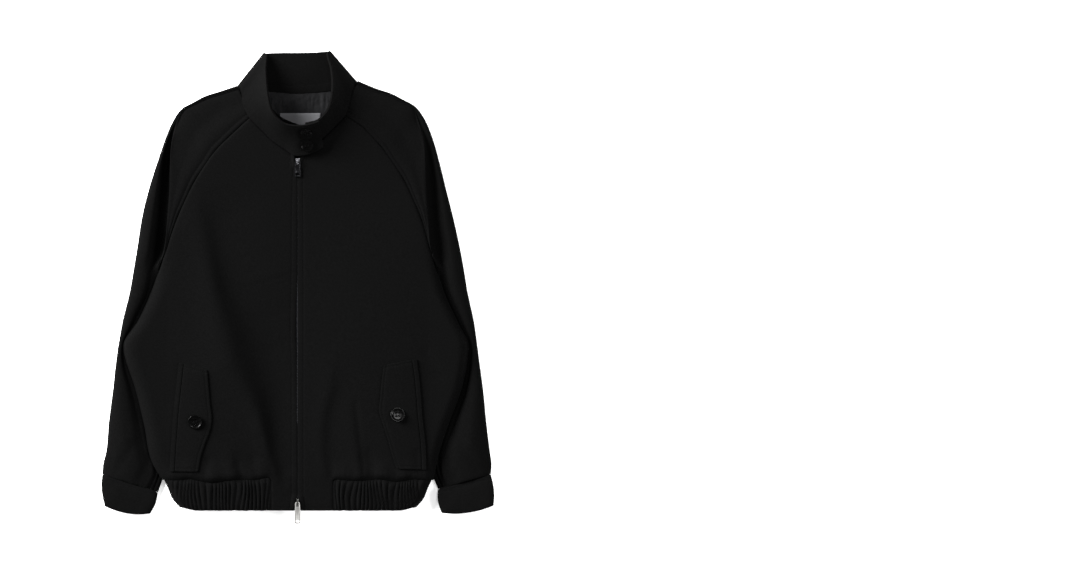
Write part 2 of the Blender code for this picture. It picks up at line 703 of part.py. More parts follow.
# ---------------------------------------------------------------- things on the fronts
def front_surface(side, out, up):
    """Top of the front below a pocket, from the panel's own edge at that level."""
    stations = [row for row in side_points(side) if row[1] <= 262.0]
    edge = table_value(sorted((row[1], row[0]) for row in stations), up)
    edge_rise = table_value(sorted((row[1], row[3]) for row in stations), up)
    return rolled(edge_rise, front_plateau(side, out, up), edge - out)


def flap_rows(side):
    rows = []
    for row in POCKET_FLAP:
        free_out, free_up, sewn_out, sewn_up = row[:4] if side < 0 else row[4:]
        rows.append([(side * mix(free_out, sewn_out, share), mix(free_up, sewn_up, share),
                      front_surface(side, mix(free_out, sewn_out, share),
                                    mix(free_up, sewn_up, share)) + LAYER_GAP + WALL)
                     for share in (0.0, 0.25, 0.5, 0.75, 1.0)])
    return rows


def welt_rows(side):
    rows = []
    for row in POCKET_FLAP:
        _, _, sewn_out, sewn_up = row[:4] if side < 0 else row[4:]
        rows.append([(side * (sewn_out + SEAM_GAP + step), sewn_up,
                      front_surface(side, sewn_out + step, sewn_up) + LAYER_GAP + WALL)
                     for step in (0.0, 0.5 * WELT_WIDTH, WELT_WIDTH)])
    return rows


def tape_rows(side):
    rows = []
    for index in range(15):
        up = mix(3.0, ZIP_TOP - 3.0, index / 14.0)
        inner = max(ZIP_HALF_GAP, zip_half_gap(up) - 2.6) if up > ZIP_MOUTH else ZIP_HALF_GAP
        rows.append([(side * (inner + step), up,
                      front_plateau(side, inner + step, up) - BAND_WALL - LAYER_GAP - 0.3)
                     for step in (0.0, 0.5 * TAPE_WIDTH, TAPE_WIDTH)])
    return rows


def flat_panel(name, corners, low, wall, look):
    """A flat sheet from four corners, its top at low + wall."""
    rows = [[(x, y, low + wall) for x, y in corners[:2]], [(x, y, low + wall) for x, y in corners[2:]]]
    return cloth_wall(name, rows, wall, look, True)


# ---------------------------------------------------------------- buttons
def button_mesh(diameter):
    """Half profile of a dished button, turned by the Screw modifier."""
    radius = 0.5 * diameter
    profile = [(0.0, 0.62), (0.42, 0.62), (0.6, 0.8), (0.72, 1.0), (0.88, 1.0), (1.0, 0.72),
               (1.0, 0.4), (0.8, 0.0), (0.0, 0.0)]
    mesh = bpy.data.meshes.new("button_profile")
    points = [(radius * r * MM, 0.0, (z - 0.5) * BUTTON_HEIGHT * MM) for r, z in profile]
    mesh.from_pydata(points, [(i, i + 1) for i in range(len(points) - 1)], [])
    return mesh


def hole_cutter(name, diameter, centre, spin):
    made = bmesh.new()
    for index in range(4):
        angle = math.radians(45.0 + 90.0 * index)
        start = len(made.verts)
        bmesh.ops.create_cone(made, cap_ends=True, segments=8, radius1=0.05 * diameter * MM,
                              radius2=0.05 * diameter * MM, depth=2.0 * BUTTON_HEIGHT * MM)
        made.verts.ensure_lookup_table()
        shift = Vector((math.cos(angle), math.sin(angle), 0.0)) * 0.15 * diameter * MM
        bmesh.ops.translate(made, verts=made.verts[start:], vec=shift)
    mesh = bpy.data.meshes.new(name)
    made.to_mesh(mesh)
    made.free()
    cutter = add_object(name, mesh, None, cutters)
    cutter.location = centre
    cutter.rotation_euler = spin
    cutter.hide_render = True
    cutter.display_type = "WIRE"
    return cutter


def add_button(name, diameter, x, y, rise, tilt=0.0):
    """A four-hole button whose middle is at the given rise."""
    piece = add_object(name, button_mesh(diameter), horn)
    piece.location = place(x, y, rise)
    piece.rotation_euler = (math.radians(tilt), 0.0, 0.0)
    turn = piece.modifiers.new("turn", "SCREW")
    turn.steps = turn.render_steps = 24
    turn.use_merge_vertices = True
    turn.merge_threshold = 0.00001
    turn.use_normal_calculate = True
    holes = piece.modifiers.new("holes", "BOOLEAN")
    holes.object = hole_cutter(name + "_holes", diameter, piece.location, piece.rotation_euler)
    return piece


# ---------------------------------------------------------------- zip
def prism(name, outline, axis, half, look, group=None):
    """A prism of an outline; axis names the coordinate that it is drawn along."""
    made = bmesh.new()
    order = {"x": lambda a, b, c: (c, a, b), "y": lambda a, b, c: (a, c, b)}[axis]
    first = [made.verts.new(Vector(order(a, b, -half)) * MM) for a, b in outline]
    last = [made.verts.new(Vector(order(a, b, half)) * MM) for a, b in outline]
    made.faces.new(first)
    made.faces.new(last[::-1])
    for index in range(len(outline)):
        nxt = (index + 1) % len(outline)
        made.faces.new((first[nxt], first[index], last[index], last[nxt]))
    bmesh.ops.recalc_face_normals(made, faces=made.faces[:])
    mesh = bpy.data.meshes.new(name)
    made.to_mesh(mesh)
    made.free()
    return add_object(name, mesh, look, group)


def add_slider(name, up, look):
    """Slider of two plates joined by a web, with a bail bridging the top plate."""
    top = front_plateau(1, 1.0, up) + 0.4
    half, web, plate = 0.5 * SLIDER_WIDTH, 0.5, SLIDER_PLATE
    low = -(BAND_WALL + LAYER_GAP + TAPE_WALL + 1.4)
    section = [(half, 0.0), (half, plate), (-half, plate), (-half, 0.0), (-web, 0.0), (-web, low),
               (-half, low), (-half, low - plate), (half, low - plate), (half, low), (web, low),
               (web, 0.0)]
    slider = prism(name, section, "y", 0.5 * SLIDER_LENGTH, look)
    slider.location = place(0.0, up, top)
    reach, hole = 0.5 * BAIL_LENGTH, 0.5 * BAIL_LENGTH - BAIL_STOCK
    arch = [(-reach, plate - 0.3), (-reach, plate + 2.4), (-reach + 1.2, plate + BAIL_HOLE + BAIL_STOCK),
            (reach - 1.2, plate + BAIL_HOLE + BAIL_STOCK), (reach, plate + 2.4), (reach, plate - 0.3),
            (hole, plate - 0.3), (hole, plate + BAIL_HOLE), (-hole, plate + BAIL_HOLE),
            (-hole, plate - 0.3)]
    bail = prism(name + "_bail", arch, "x", 0.5 * BAIL_WIDTH, None, cutters)
    bail.location = slider.location
    bail.hide_render = True
    bail.display_type = "WIRE"
    join = slider.modifiers.new("bail", "BOOLEAN")
    join.operation = "UNION"
    join.object = bail
    return top + plate + 0.5 * BAIL_HOLE


def curve_loop(curve, points):
    spline = curve.splines.new("POLY")
    spline.points.add(len(points) - 1)
    for point, (x, y) in zip(spline.points, points):
        point.co = (x * MM, y * MM, 0.0, 1.0)
    spline.use_cyclic_u = True


def add_pull(name, size, up, pivot_rise, look):
    """Pull plate with its crossbar on the hinge axis, a window for the bail and an end hole."""
    length, head, foot = size
    half_head, half_foot = 0.5 * head, 0.5 * foot
    bar = 0.5 * PULL_BAR
    curve = bpy.data.curves.new(name, "CURVE")
    curve.dimensions = "2D"
    curve.fill_mode = "BOTH"
    curve.extrude = 0.5 * PULL_WALL * MM
    curve_loop(curve, [(-half_head + 0.6, bar), (half_head - 0.6, bar), (half_head, bar - 0.6),
                       (half_foot, -length + 4.0), (half_foot - 1.0, -length + 1.2),
                       (half_foot - 2.6, -length), (2.6 - half_foot, -length),
                       (1.0 - half_foot, -length + 1.2), (-half_foot, -length + 4.0),
                       (-half_head, bar - 0.6)])
    window = PULL_WINDOW_HALF
    curve_loop(curve, [(-window, -bar), (window, -bar), (window, -bar - PULL_WINDOW),
                       (-window, -bar - PULL_WINDOW)])
    hole_half, hole_top, hole_end = half_foot - 3.0, -length + 9.0, -length + 3.0
    curve_loop(curve, [(-hole_half, hole_top), (hole_half, hole_top), (hole_half, hole_end + 1.0),
                       (hole_half - 1.0, hole_end), (1.0 - hole_half, hole_end),
                       (-hole_half, hole_end + 1.0)])
    flat = bpy.data.objects.new(name + "_outline", curve)
    parts.objects.link(flat)
    bpy.context.view_layer.update()
    evaluated = flat.evaluated_get(bpy.context.evaluated_depsgraph_get())
    mesh = bpy.data.meshes.new_from_object(evaluated)
    bpy.data.objects.remove(flat, do_unlink=True)
    made = bmesh.new()
    made.from_mesh(mesh)
    bmesh.ops.remove_doubles(made, verts=made.verts[:], dist=0.000001)
    bmesh.ops.recalc_face_normals(made, faces=made.faces[:])
    made.to_mesh(mesh)
    made.free()
    mesh.name = name
    pull = add_object(name, mesh, look)
    pull.location = place(0.0, up, pivot_rise)
    pull.rotation_euler = (PULL_TILT, 0.0, 0.0)
    return pull


# ---------------------------------------------------------------- assembly
clear_scene()
parts = new_collection("stand_collar_blouson")
cutters = new_collection("cutters", hidden=True)
wool = material("wool", WOOL, 0.95)
satin = material("lining_satin", LINING, 0.45)
woven = material("label_weave", LABEL, 0.7)
horn = material("button_horn", HORN, 0.3)
tape = material("zip_tape", TAPE, 0.9)
gunmetal = material("zip_gunmetal", GUNMETAL, 0.35, 1.0)
nickel = material("zip_nickel", NICKEL, 0.2, 1.0)

for side, word in ((-1, "left"), (1, "right")):
    cloth_wall("front_" + word, front_rows(side), WALL, wool, True)
    cloth_wall("back_" + word, back_rows(side), WALL, wool, False)
    cloth_wall("sleeve_front_" + word, sleeve_front_rows(side), WALL, wool, True)
    cloth_wall("sleeve_back_" + word, sleeve_back_rows(side), WALL, wool, False)
    cloth_wall("sleeve_under_" + word, under_sleeve_rows(side), WALL, wool, None)
    cloth_wall("cuff_" + word, cuff_rows(side), BAND_WALL, wool, None, closed=True)
    cloth_wall("cuff_tab_" + word, cuff_tab_rows(side), WALL, wool, False)
    cloth_wall("hem_plain_" + word, plain_hem_rows(side), BAND_WALL, wool, True)
    cloth_wall("hem_gathered_" + word, gathered_front_rows(side), BAND_WALL, wool, True)
    cloth_wall("pocket_flap_" + word, flap_rows(side), WALL, wool, True)
    cloth_wall("pocket_welt_" + word, welt_rows(side), WALL, wool, True)
    cloth_wall("zip_tape_" + word, tape_rows(side), TAPE_WALL, tape, True)

cloth_wall("hem_gathered_back", gathered_back_rows(), BAND_WALL, wool, False)
cloth_wall("collar", collar_rows(), COLLAR_WALL, wool, None)
flat_panel("lining_neck", ((-74.0, 600.0), (74.0, 600.0), (-68.0, 685.0), (68.0, 685.0)), 2.4, 1.0, satin)
flat_panel("label", ((-35.0, 620.0), (35.0, 620.0), (-35.0, 655.0), (35.0, 655.0)), 3.8, 0.8, woven)

add_button("button_collar_low", COLLAR_BUTTON, 16.0, 600.5, 41.8, 20.0)
add_button("button_collar_high", COLLAR_BUTTON, 15.5, 619.0, 53.5, 36.0)
for side, word, out, up in ((-1, "left", 168.0, 146.0), (1, "right", 165.0, 158.0)):
    rest = front_surface(side, out, up) + LAYER_GAP + WALL + 0.5 + 0.5 * BUTTON_HEIGHT
    add_button("button_pocket_" + word, POCKET_BUTTON, side * out, up, rest + 0.8)
    add_button("button_cuff_" + word, CUFF_BUTTON, side * 281.0, 14.0, 0.5 * BUTTON_HEIGHT)

top_pivot = add_slider("slider_top", TOP_SLIDER_UP, gunmetal)
add_pull("pull_top", TOP_PULL, TOP_SLIDER_UP, top_pivot, gunmetal)
bottom_pivot = add_slider("slider_bottom", BOTTOM_SLIDER_UP, nickel)
add_pull("pull_bottom", BOTTOM_PULL, BOTTOM_SLIDER_UP, bottom_pivot, nickel)
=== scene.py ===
# Oversized stand-collar blouson in black wool twill, laid flat on its back with the front up.
#
# Lengths in the tables are garment millimetres: "out" is the distance from the centre front,
# "up" is the distance from the hem's lower edge, "rise" is the height above the floor.
# The left side of the garment view is side -1 and the right side is +1.

import math

import bmesh
import bpy
from mathutils import Matrix, Vector, noise
from mathutils.bvhtree import BVHTree


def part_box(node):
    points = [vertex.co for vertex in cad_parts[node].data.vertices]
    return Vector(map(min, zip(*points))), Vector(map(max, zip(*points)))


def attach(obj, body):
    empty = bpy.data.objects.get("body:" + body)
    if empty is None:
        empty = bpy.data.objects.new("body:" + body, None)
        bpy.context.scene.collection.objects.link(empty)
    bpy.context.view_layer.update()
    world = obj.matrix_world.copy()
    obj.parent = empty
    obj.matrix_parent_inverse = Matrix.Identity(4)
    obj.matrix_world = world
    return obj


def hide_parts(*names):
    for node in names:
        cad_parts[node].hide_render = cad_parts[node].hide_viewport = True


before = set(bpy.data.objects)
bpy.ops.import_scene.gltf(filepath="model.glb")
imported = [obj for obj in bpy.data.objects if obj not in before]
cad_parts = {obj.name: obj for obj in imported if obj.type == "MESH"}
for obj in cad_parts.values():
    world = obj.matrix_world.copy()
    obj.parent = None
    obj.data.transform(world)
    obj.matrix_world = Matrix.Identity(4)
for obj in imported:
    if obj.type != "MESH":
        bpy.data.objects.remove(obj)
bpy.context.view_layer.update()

# ---------------------------------------------------------------- driving sizes (mm)
MM = 0.001
SIDES = ((-1, "left"), (1, "right"))
MIDDLE_UP = 368.4           # garment level that is the part's origin
WALL = 2.0                  # wool cloth of body and sleeves
BAND_WALL = 3.0             # doubled cloth of hem and cuffs
COLLAR_WALL = 3.4           # doubled and interlined collar
SEAM_GAP = 0.4              # between pieces that are sewn together
FLAP_LIFT = 0.8             # between a flap and the front below it

HEM_DEPTH = 50.0
ZIP_TOP = 584.0
ZIP_MOUTH = 560.0           # where the fronts start to part under the collar
ZIP_MOUTH_HALF = 5.0

CHEST_RISE = 26.0           # top of the front along the zip
CHEST_CROWN = 5.0           # extra rise half way to the side
ROLL_WIDTH = {-1: 24.0, 1: 16.0}    # plan width of the rolled side edge
SLEEVE_LOW_RISE = 7.3       # top of the sleeve where the body lies on it
EDGE_RISE = 4.6             # top of the sleeve's folded outer edge
BACK_OVER_SLEEVE = 8.4      # underside of the back panel where it lies on the sleeve
EDGE_DROP = 32.0            # plan width in which the back panel climbs onto the sleeve
LIP_ROOM = 2.6              # how far the back panel stops short of the rolled side edge

# Front panel's outer edge from the hem to the neck, with the zip-edge station of each row.
FRONT_EDGE = [
    # left out, up    right out, up   zip up  edge rise
    (221.0,  51.0,   222.0,  53.0,   51.0,  12.8),      # hem seam
    (238.0,  78.0,   229.0,  86.0,   80.0,  12.7),      # hem bulge
    (252.0, 142.0,   246.0, 140.0,  135.0,  12.7),      # pocket foot
    (266.0, 200.0,   268.0, 200.0,  190.0,  12.7),      # pocket head
    (285.0, 262.0,   278.0, 251.0,  245.0,  12.7),      # side, high
    (285.0, 276.0,   279.0, 274.0,  268.0,  12.7),      # underarm
    (262.0, 312.0,   262.0, 310.0,  308.0,  12.7),      # arm hollow
    (236.0, 371.0,   238.0, 363.0,  362.0,  12.9),      # raglan's hidden end
    (219.0, 421.0,   218.0, 429.0,  412.0,  23.5),      # raglan, low
    (198.0, 482.0,   203.0, 482.0,  458.0,  24.5),      # raglan, middle
    (170.0, 541.0,   176.0, 543.0,  500.0,  25.0),      # raglan, high
    (134.0, 594.0,   137.0, 600.0,  540.0,  25.0),      # shoulder
    (111.0, 617.0,   106.0, 632.0,  562.0,  24.5),      # collar bone
    (81.0, 645.0,     81.0, 648.0,  584.0,  24.0),      # neck
]
HIDDEN_END, FIRST_RAGLAN = 7, 8

# Front neck seam from the zip to the raglan seam.
NECK_CURVE = [
    # left out, up   right out, up
    (5.0, 584.0,     5.0, 584.0),
    (18.0, 590.0,    18.0, 591.0),
    (41.0, 606.0,    45.0, 612.0),
    (63.0, 627.0,    62.0, 629.0),
    (81.0, 645.0,    81.0, 648.0),
]

# Back panel's outer edge from the hidden underarm to the neck (below it, the front's edge).
BACK_EDGE = [
    # out,  up,    centre up
    (258.0, 320.0, 318.0), (229.0, 374.0, 372.0), (212.0, 398.0, 395.0), (200.0, 415.0, 412.0),
    (188.0, 449.0, 445.0), (167.0, 488.0, 485.0), (163.0, 519.0, 515.0), (160.0, 562.0, 555.0),
    (139.0, 612.0, 610.0), (115.0, 647.0, 645.0), (78.0, 690.0, 685.6),
]

# Sleeve rows above the underarm hollow: they start on the raglan stations of FRONT_EDGE,
# halves included, from the neck down to "raglan, low".
SLEEVE_CAP = [
    # fold out, up    edge: left out, up   right out, up   fold rise  valley  crest
    (95.0, 683.0,     104.0, 698.0,        102.0, 706.0,   14.0,  10.0,  9.0),
    (118.0, 679.0,    128.0, 691.0,        128.0, 696.0,   13.0,  10.0,  9.0),
    (142.0, 675.0,    153.0, 683.0,        157.0, 686.0,   12.5,  10.0,  9.0),
    (161.0, 668.0,    174.0, 672.0,        172.0, 678.0,   12.5,  10.0,  9.0),
    (180.0, 659.0,    193.0, 661.0,        192.0, 667.0,   12.5,  10.0,  9.0),
    (197.0, 641.0,    206.0, 642.0,        207.0, 648.0,   13.5,  10.0,  9.5),
    (207.0, 610.0,    219.0, 612.0,        221.0, 616.0,   18.0,  11.0, 10.5),
    (210.0, 572.0,    231.0, 577.0,        233.0, 575.0,   22.5,  10.5, 12.5),
    (211.0, 530.0,    243.0, 540.0,        244.0, 530.0,   24.0,  10.0, 14.0),
    (214.0, 486.0,    256.0, 490.0,        257.0, 478.0,   24.2,  10.0, 15.0),
    (221.0, 426.0,    266.0, 428.0,        269.0, 422.0,   23.5,  10.0, 16.0),
]

# Sleeve rows from there to the cuff; "inner" is the seam that the body hides, and "fold" is
# below the body's own edge. Levels of the cuff seam row come from CUFF_SEAM.
SLEEVE_ARM = [
    # inner out, up,  left: fold out, up, edge out, up     right: the same
    (228.8, 396.3,    231.5, 396.0, 271.0, 398.0,          231.5, 396.0, 274.0, 394.0),
    (226.0, 384.0,    236.0, 371.0, 277.0, 363.0,          238.0, 363.0, 279.0, 363.0),
    (250.0, 314.0,    262.0, 311.0, 290.0, 308.0,          262.0, 310.0, 291.0, 306.0),
    (268.0, 274.0,    284.0, 272.0, 297.0, 268.0,          279.0, 272.0, 296.0, 269.0),
    (265.0, 240.0,    280.0, 240.0, 301.0, 238.0,          276.0, 240.0, 300.0, 238.0),
    (254.0, 200.0,    266.0, 200.0, 305.0, 201.0,          268.0, 200.0, 305.0, 201.0),
    (238.0, 141.0,    252.0, 141.0, 312.0, 146.0,          246.0, 140.0, 311.0, 140.0),
    (226.0, 95.0,     242.0, 94.0, 317.0, 94.0,            232.0, 95.0, 317.0, 92.0),
    (228.0, 62.0,     234.0, 62.0, 321.0, 78.0,            234.0, 64.0, 319.0, 78.0),
    (239.0, None,     246.0, None, 323.0, None,            244.0, None, 318.0, None),
]
SLEEVE_ARM_RISES = [
    # inner, fold, valley, crest
    (12.0, 11.0, 9.8, 15.5), (6.8, 7.2, 9.4, 15.0), (7.3, 7.3, 8.8, 12.0), (7.3, 7.3, 7.9, 9.4),
    (7.3, 7.3, 7.9, 10.2), (7.3, 7.3, 8.6, 13.5), (7.3, 7.3, 9.6, 16.0), (7.3, 7.5, 10.5, 17.0),
    (7.3, 8.2, 11.5, 16.0), (7.3, 8.6, 12.5, 15.0),
]

# Seam of the outer and the under sleeve on the floor side, a row for each sleeve row.
SLEEVE_BACK_SEAM = [
    (78.0, 690.0), (96.5, 668.5), (115.0, 647.0), (127.0, 629.5), (139.0, 612.0), (149.5, 587.0),
    (160.0, 562.0), (163.0, 519.0), (167.0, 488.0), (188.0, 449.0), (200.0, 415.0),
    (206.0, 396.0), (214.0, 370.0), (228.0, 312.0), (238.0, 270.0), (244.5, 240.0),
    (252.5, 200.0), (265.0, 140.0), (274.0, 95.0), (280.0, 66.0), (283.0, 46.5),
]

# Fold of the under sleeve below the body, and where its upper part ends.
UNDER_SLEEVE = [
    # up, fold out, upper seam out, floor seam out, up
    (384.0, 187.0, 226.0, 206.0, 396.0),
    (349.0, 172.0, 238.0, 214.0, 370.0),
    (314.0, 165.0, 250.0, 228.0, 312.0),
    (274.0, 167.0, 268.0, 238.0, 270.0),
    (240.0, 174.0, 265.0, 244.5, 240.0),
    (200.0, 182.0, 254.0, 252.5, 200.0),
    (141.0, 199.0, 238.0, 265.0, 140.0),
    (95.0, 212.0, 226.0, 274.0, 95.0),
    (62.0, 220.0, 228.0, 280.0, 66.0),
    (30.0, 231.0, 239.0, 283.0, 46.5),
]

HEM_PLAIN_WIDTH = {-1: 43.0, 1: 58.0}
HEM_CORNER = [
    # out,  up    of the hem's side from the seam down, then along the lower edge
    (220.5, 50.4), (214.0, 36.0), (207.0, 19.0), (195.0, 5.0),
]

# Collar strip from the tab's end round the neck to the end below the tab.
COLLAR_FRONT_TAB_SIDE = [
    # base x, y, rise      top x, y, rise
    (43.0, 596.0, 35.5, 37.5, 640.0, 59.0),
    (16.0, 586.0, 34.0, 23.0, 635.0, 60.0),
    (-5.0, 584.5, 32.0, 3.0, 632.0, 60.0),
    (-18.5, 593.0, 29.5, -16.0, 634.0, 59.0),
    (-40.5, 608.0, 28.0, -33.0, 645.0, 58.0),
    (-62.0, 629.0, 27.0, -43.0, 660.0, 56.0),
    (-79.5, 647.0, 26.0, -48.0, 681.0, 51.0),
    (-89.0, 664.0, 22.0, -51.0, 702.0, 41.0),
    (-93.5, 682.0, 15.5, -53.0, 728.0, 24.0),
]
COLLAR_FRONT_FAR_SIDE = [
    (90.5, 683.0, 15.5, 56.0, 728.0, 24.0),
    (84.0, 665.0, 22.0, 59.0, 702.0, 40.0),
    (78.0, 649.5, 26.0, 58.0, 684.0, 48.0),
    (60.5, 631.0, 26.5, 55.0, 668.0, 51.0),
    (44.0, 615.0, 27.0, 49.0, 655.0, 52.5),
    (26.0, 602.0, 27.2, 34.0, 641.0, 53.0),
    (10.0, 594.0, 27.2, 14.0, 636.0, 53.0),
]
COLLAR_BACK = [
    # base x, y      top x, y, all on the floor
    (-72.0, 692.5, -46.0, 754.0), (-36.0, 688.6, -24.0, 754.5), (0.0, 686.6, 0.0, 754.5),
    (36.0, 688.6, 24.0, 755.0), (72.0, 694.0, 44.0, 756.5),
]
COLLAR_CORNER = {-1: (-98.5, 697.8, -54.0, 754.0), 1: (96.0, 703.9, 50.0, 757.0)}
COLLAR_FOLD_RISE = 7.6
COLLAR_SAG = 0.14           # how much later the band rises than a straight one

# Pocket flap: shaped free edge (towards the zip) and sewn edge, a row for each station.
POCKET_FLAP = [
    # left: free out, up, sewn out, up      right: the same
    (148.0, 232.0, 187.0, 242.0,   142.0, 240.0, 188.0, 249.0),
    (146.0, 206.0, 190.0, 214.0,   138.0, 207.0, 192.5, 216.0),
    (144.0, 181.0, 193.0, 187.0,   136.0, 184.0, 195.0, 188.0),
    (141.0, 148.0, 196.5, 152.0,   134.5, 162.0, 197.0, 160.0),
    (143.0, 135.0, 197.5, 136.0,   139.0, 147.0, 198.5, 145.0),
    (153.0, 107.0, 199.5, 108.0,   149.0, 116.0, 202.0, 114.0),
    (160.0, 84.0, 201.0, 84.0,     156.0, 90.0, 203.5, 88.0),
    (163.0, 64.0, 202.0, 64.5,     163.0, 69.0, 204.0, 67.5),
]
WELT_WIDTH = 8.0

CUFF_FLOOR, CUFF_TOP, CUFF_TAB_RISE = 5.7, 18.0, 3.1
# Inner and outer end of the seam with the sleeve and of the opening: out, up, out, up.
CUFF_SEAM = {-1: (231.5, 29.0, 322.5, 59.0), 1: (230.5, 34.0, 318.0, 59.0)}
CUFF_END = {-1: (243.5, -5.0, 318.0, 7.0), 1: (237.0, -4.0, 322.5, 8.0)}
CUFF_BULGE = 3.0            # how far the cuff's sides swell between seam and opening
CUFF_DIP = 6.0              # how far the opening's middle hangs
# Share of the cuff's depth, rise of its underside and of its top.
CUFF_ROWS = ((0.0, 0.0, 15.0), (0.06, 0.3, 15.3), (0.24, CUFF_FLOOR, 17.0),
             (0.5, CUFF_FLOOR, CUFF_TOP), (1.0, CUFF_FLOOR, CUFF_TOP))
CUFF_DEPTHS = (-0.05, -0.018, -0.009, 0.0, 0.03, 0.06, 0.08, 0.1, 0.14, 0.2, 0.3, 0.42, 0.55, 0.68,
               0.8, 0.88, 0.94, 0.98, 1.0)      # below 0 it is tucked into the sleeve
CUFF_DEPTH = 43.0
# Share of the depth, then where the tab begins and ends across the cuff.
CUFF_TAB_SPAN = ((0.3, 0.32, 0.84), (0.6, 0.34, 0.9), (0.98, 0.42, 0.86))

# Soft folds: lines across which the front falls away to the right, by how much and how softly.
FRONT_FALLS = {
    -1: [
        # x,     up,    fall, softness
        [(-160.0, 530.0, 0.0, 14.0), (-150.0, 480.0, 7.0, 14.0), (-138.0, 420.0, 11.0, 13.0),
         (-125.0, 360.0, 17.0, 15.0), (-101.0, 297.0, 23.0, 21.0), (-88.0, 250.0, 25.0, 23.0),
         (-67.0, 200.0, 20.0, 17.0), (-54.0, 160.0, 18.0, 11.0), (-47.0, 120.0, 15.0, 8.0),
         (-42.0, 90.0, 11.0, 8.0), (-33.0, 66.0, 9.0, 7.0), (-29.0, 50.0, 3.0, 6.0),
         (-28.0, 40.0, 0.0, 6.0)],
        [(-104.0, 112.0, 0.0, 7.0), (-105.0, 90.0, 2.6, 7.0), (-106.0, 70.0, 4.8, 7.0),
         (-98.0, 54.0, 4.0, 7.0), (-96.0, 46.0, 0.0, 6.0)],
    ],
    1: [
        [(62.0, 262.0, 0.0, 9.0), (60.0, 200.0, 4.2, 8.0), (48.0, 160.0, 4.8, 8.0),
         (45.0, 120.0, 4.8, 8.0), (46.0, 90.0, 4.0, 7.0), (50.0, 60.0, 2.6, 6.0),
         (52.0, 45.0, 0.0, 6.0)],
        [(88.0, 190.0, 0.0, 8.0), (94.0, 140.0, 2.0, 7.0), (103.0, 100.0, 3.2, 7.0),
         (105.0, 70.0, 4.8, 6.0), (106.0, 54.0, 4.0, 6.0), (106.0, 46.0, 0.0, 6.0)],
    ],
}
FALL_REACH = {-1: 2.2, 1: 4.6}      # softnesses in which a fold dies away on either side of it

# Finer creases: side, out, up, out, up, half width, depth (below 0 is a ridge).
FINE_FOLDS = [
    (-1, 196.0, 236.0, 206.0, 180.0, 9.0, 0.6),
    (-1, 60.0, 120.0, 40.0, 58.0, 8.0, 0.9),
    (-1, 74.0, 84.0, 66.0, 56.0, 6.0, 1.2),
    (-1, 98.0, 78.0, 92.0, 54.0, 5.0, 1.2),
    (-1, 148.0, 84.0, 152.0, 58.0, 6.0, 1.2),
    (-1, 180.0, 66.0, 184.0, 52.0, 6.0, 1.0),
    (1, 96.0, 176.0, 108.0, 64.0, 4.5, 1.0),
    (1, 118.0, 96.0, 124.0, 56.0, 7.0, 1.0),
    (1, 176.0, 72.0, 186.0, 56.0, 6.0, 1.0),
    (1, 196.0, 90.0, 206.0, 60.0, 7.0, 0.9),
    (1, 212.0, 260.0, 232.0, 220.0, 10.0, 0.6),
]
SLEEVE_FOLDS = [
    (-1, 282.0, 250.0, 262.0, 150.0, 10.0, 1.0),
    (-1, 300.0, 210.0, 290.0, 120.0, 9.0, -0.8),
    (-1, 268.0, 110.0, 300.0, 64.0, 9.0, 0.9),
    (-1, 300.0, 120.0, 312.0, 66.0, 7.0, 0.6),
    (-1, 240.0, 92.0, 262.0, 52.0, 7.0, 0.9),
    (1, 276.0, 250.0, 258.0, 130.0, 10.0, 1.2),
    (1, 298.0, 200.0, 286.0, 110.0, 9.0, -0.8),
    (1, 262.0, 120.0, 296.0, 66.0, 9.0, 0.9),
    (1, 236.0, 96.0, 258.0, 54.0, 7.0, 0.9),
    (1, 304.0, 130.0, 310.0, 70.0, 7.0, 0.6),
    (-1, 128.0, 660.0, 168.0, 618.0, 12.0, 0.6),
    (1, 124.0, 664.0, 170.0, 622.0, 12.0, 0.6),
]

# Puffs of the front where it hangs over the elastic hem: side, out, half width, height.
HEM_PUFFS = [
    (-1, 66.0, 16.0, 1.2), (-1, 104.0, 13.0, 1.8), (-1, 140.0, 17.0, 3.4), (-1, 178.0, 13.0, 2.0),
    (-1, 204.0, 9.0, 1.0), (1, 76.0, 15.0, 1.6), (1, 108.0, 12.0, 2.0), (1, 142.0, 15.0, 2.6),
    (1, 176.0, 13.0, 2.2), (1, 206.0, 9.0, 1.2),
]

# Waves of the seam between front and gathered hem: side, out, half width, how far up.
HEM_SEAM_WAVES = [
    (-1, 48.0, 16.0, 4.5), (-1, 92.0, 14.0, 0.8), (-1, 140.0, 20.0, -4.5), (-1, 178.0, 11.0, 2.0),
    (1, 62.0, 10.0, 1.5), (1, 96.0, 12.0, -0.8), (1, 132.0, 13.0, 1.5), (1, 162.0, 14.0, -2.5),
    (1, 192.0, 12.0, 1.5),
]


# ---------------------------------------------------------------- numbers
def clamp(value):
    """The value held between 0 and 1."""
    return min(max(value, 0.0), 1.0)


def ease(value):
    """From 0 to 1 with a soft start and end."""
    value = clamp(value)
    return value * value * (3.0 - 2.0 * value)


def mix(first, second, share):
    """The value a share of the way from the first to the second."""
    return first + (second - first) * share


def blend_points(first, second, share):
    return tuple(mix(a, b, share) for a, b in zip(first, second))


def table_value(rows, key):
    """Linear value of a table of (key, value) rows sorted by key."""
    if key <= rows[0][0]:
        return rows[0][1]
    for (low, first), (high, second) in zip(rows, rows[1:]):
        if key <= high:
            return mix(first, second, (key - low) / (high - low))
    return rows[-1][1]


def with_halves(points):
    """The points with the middle of each stretch put in between."""
    doubled = [points[0]]
    for first, second in zip(points, points[1:]):
        doubled += [blend_points(first, second, 0.5), second]
    return doubled


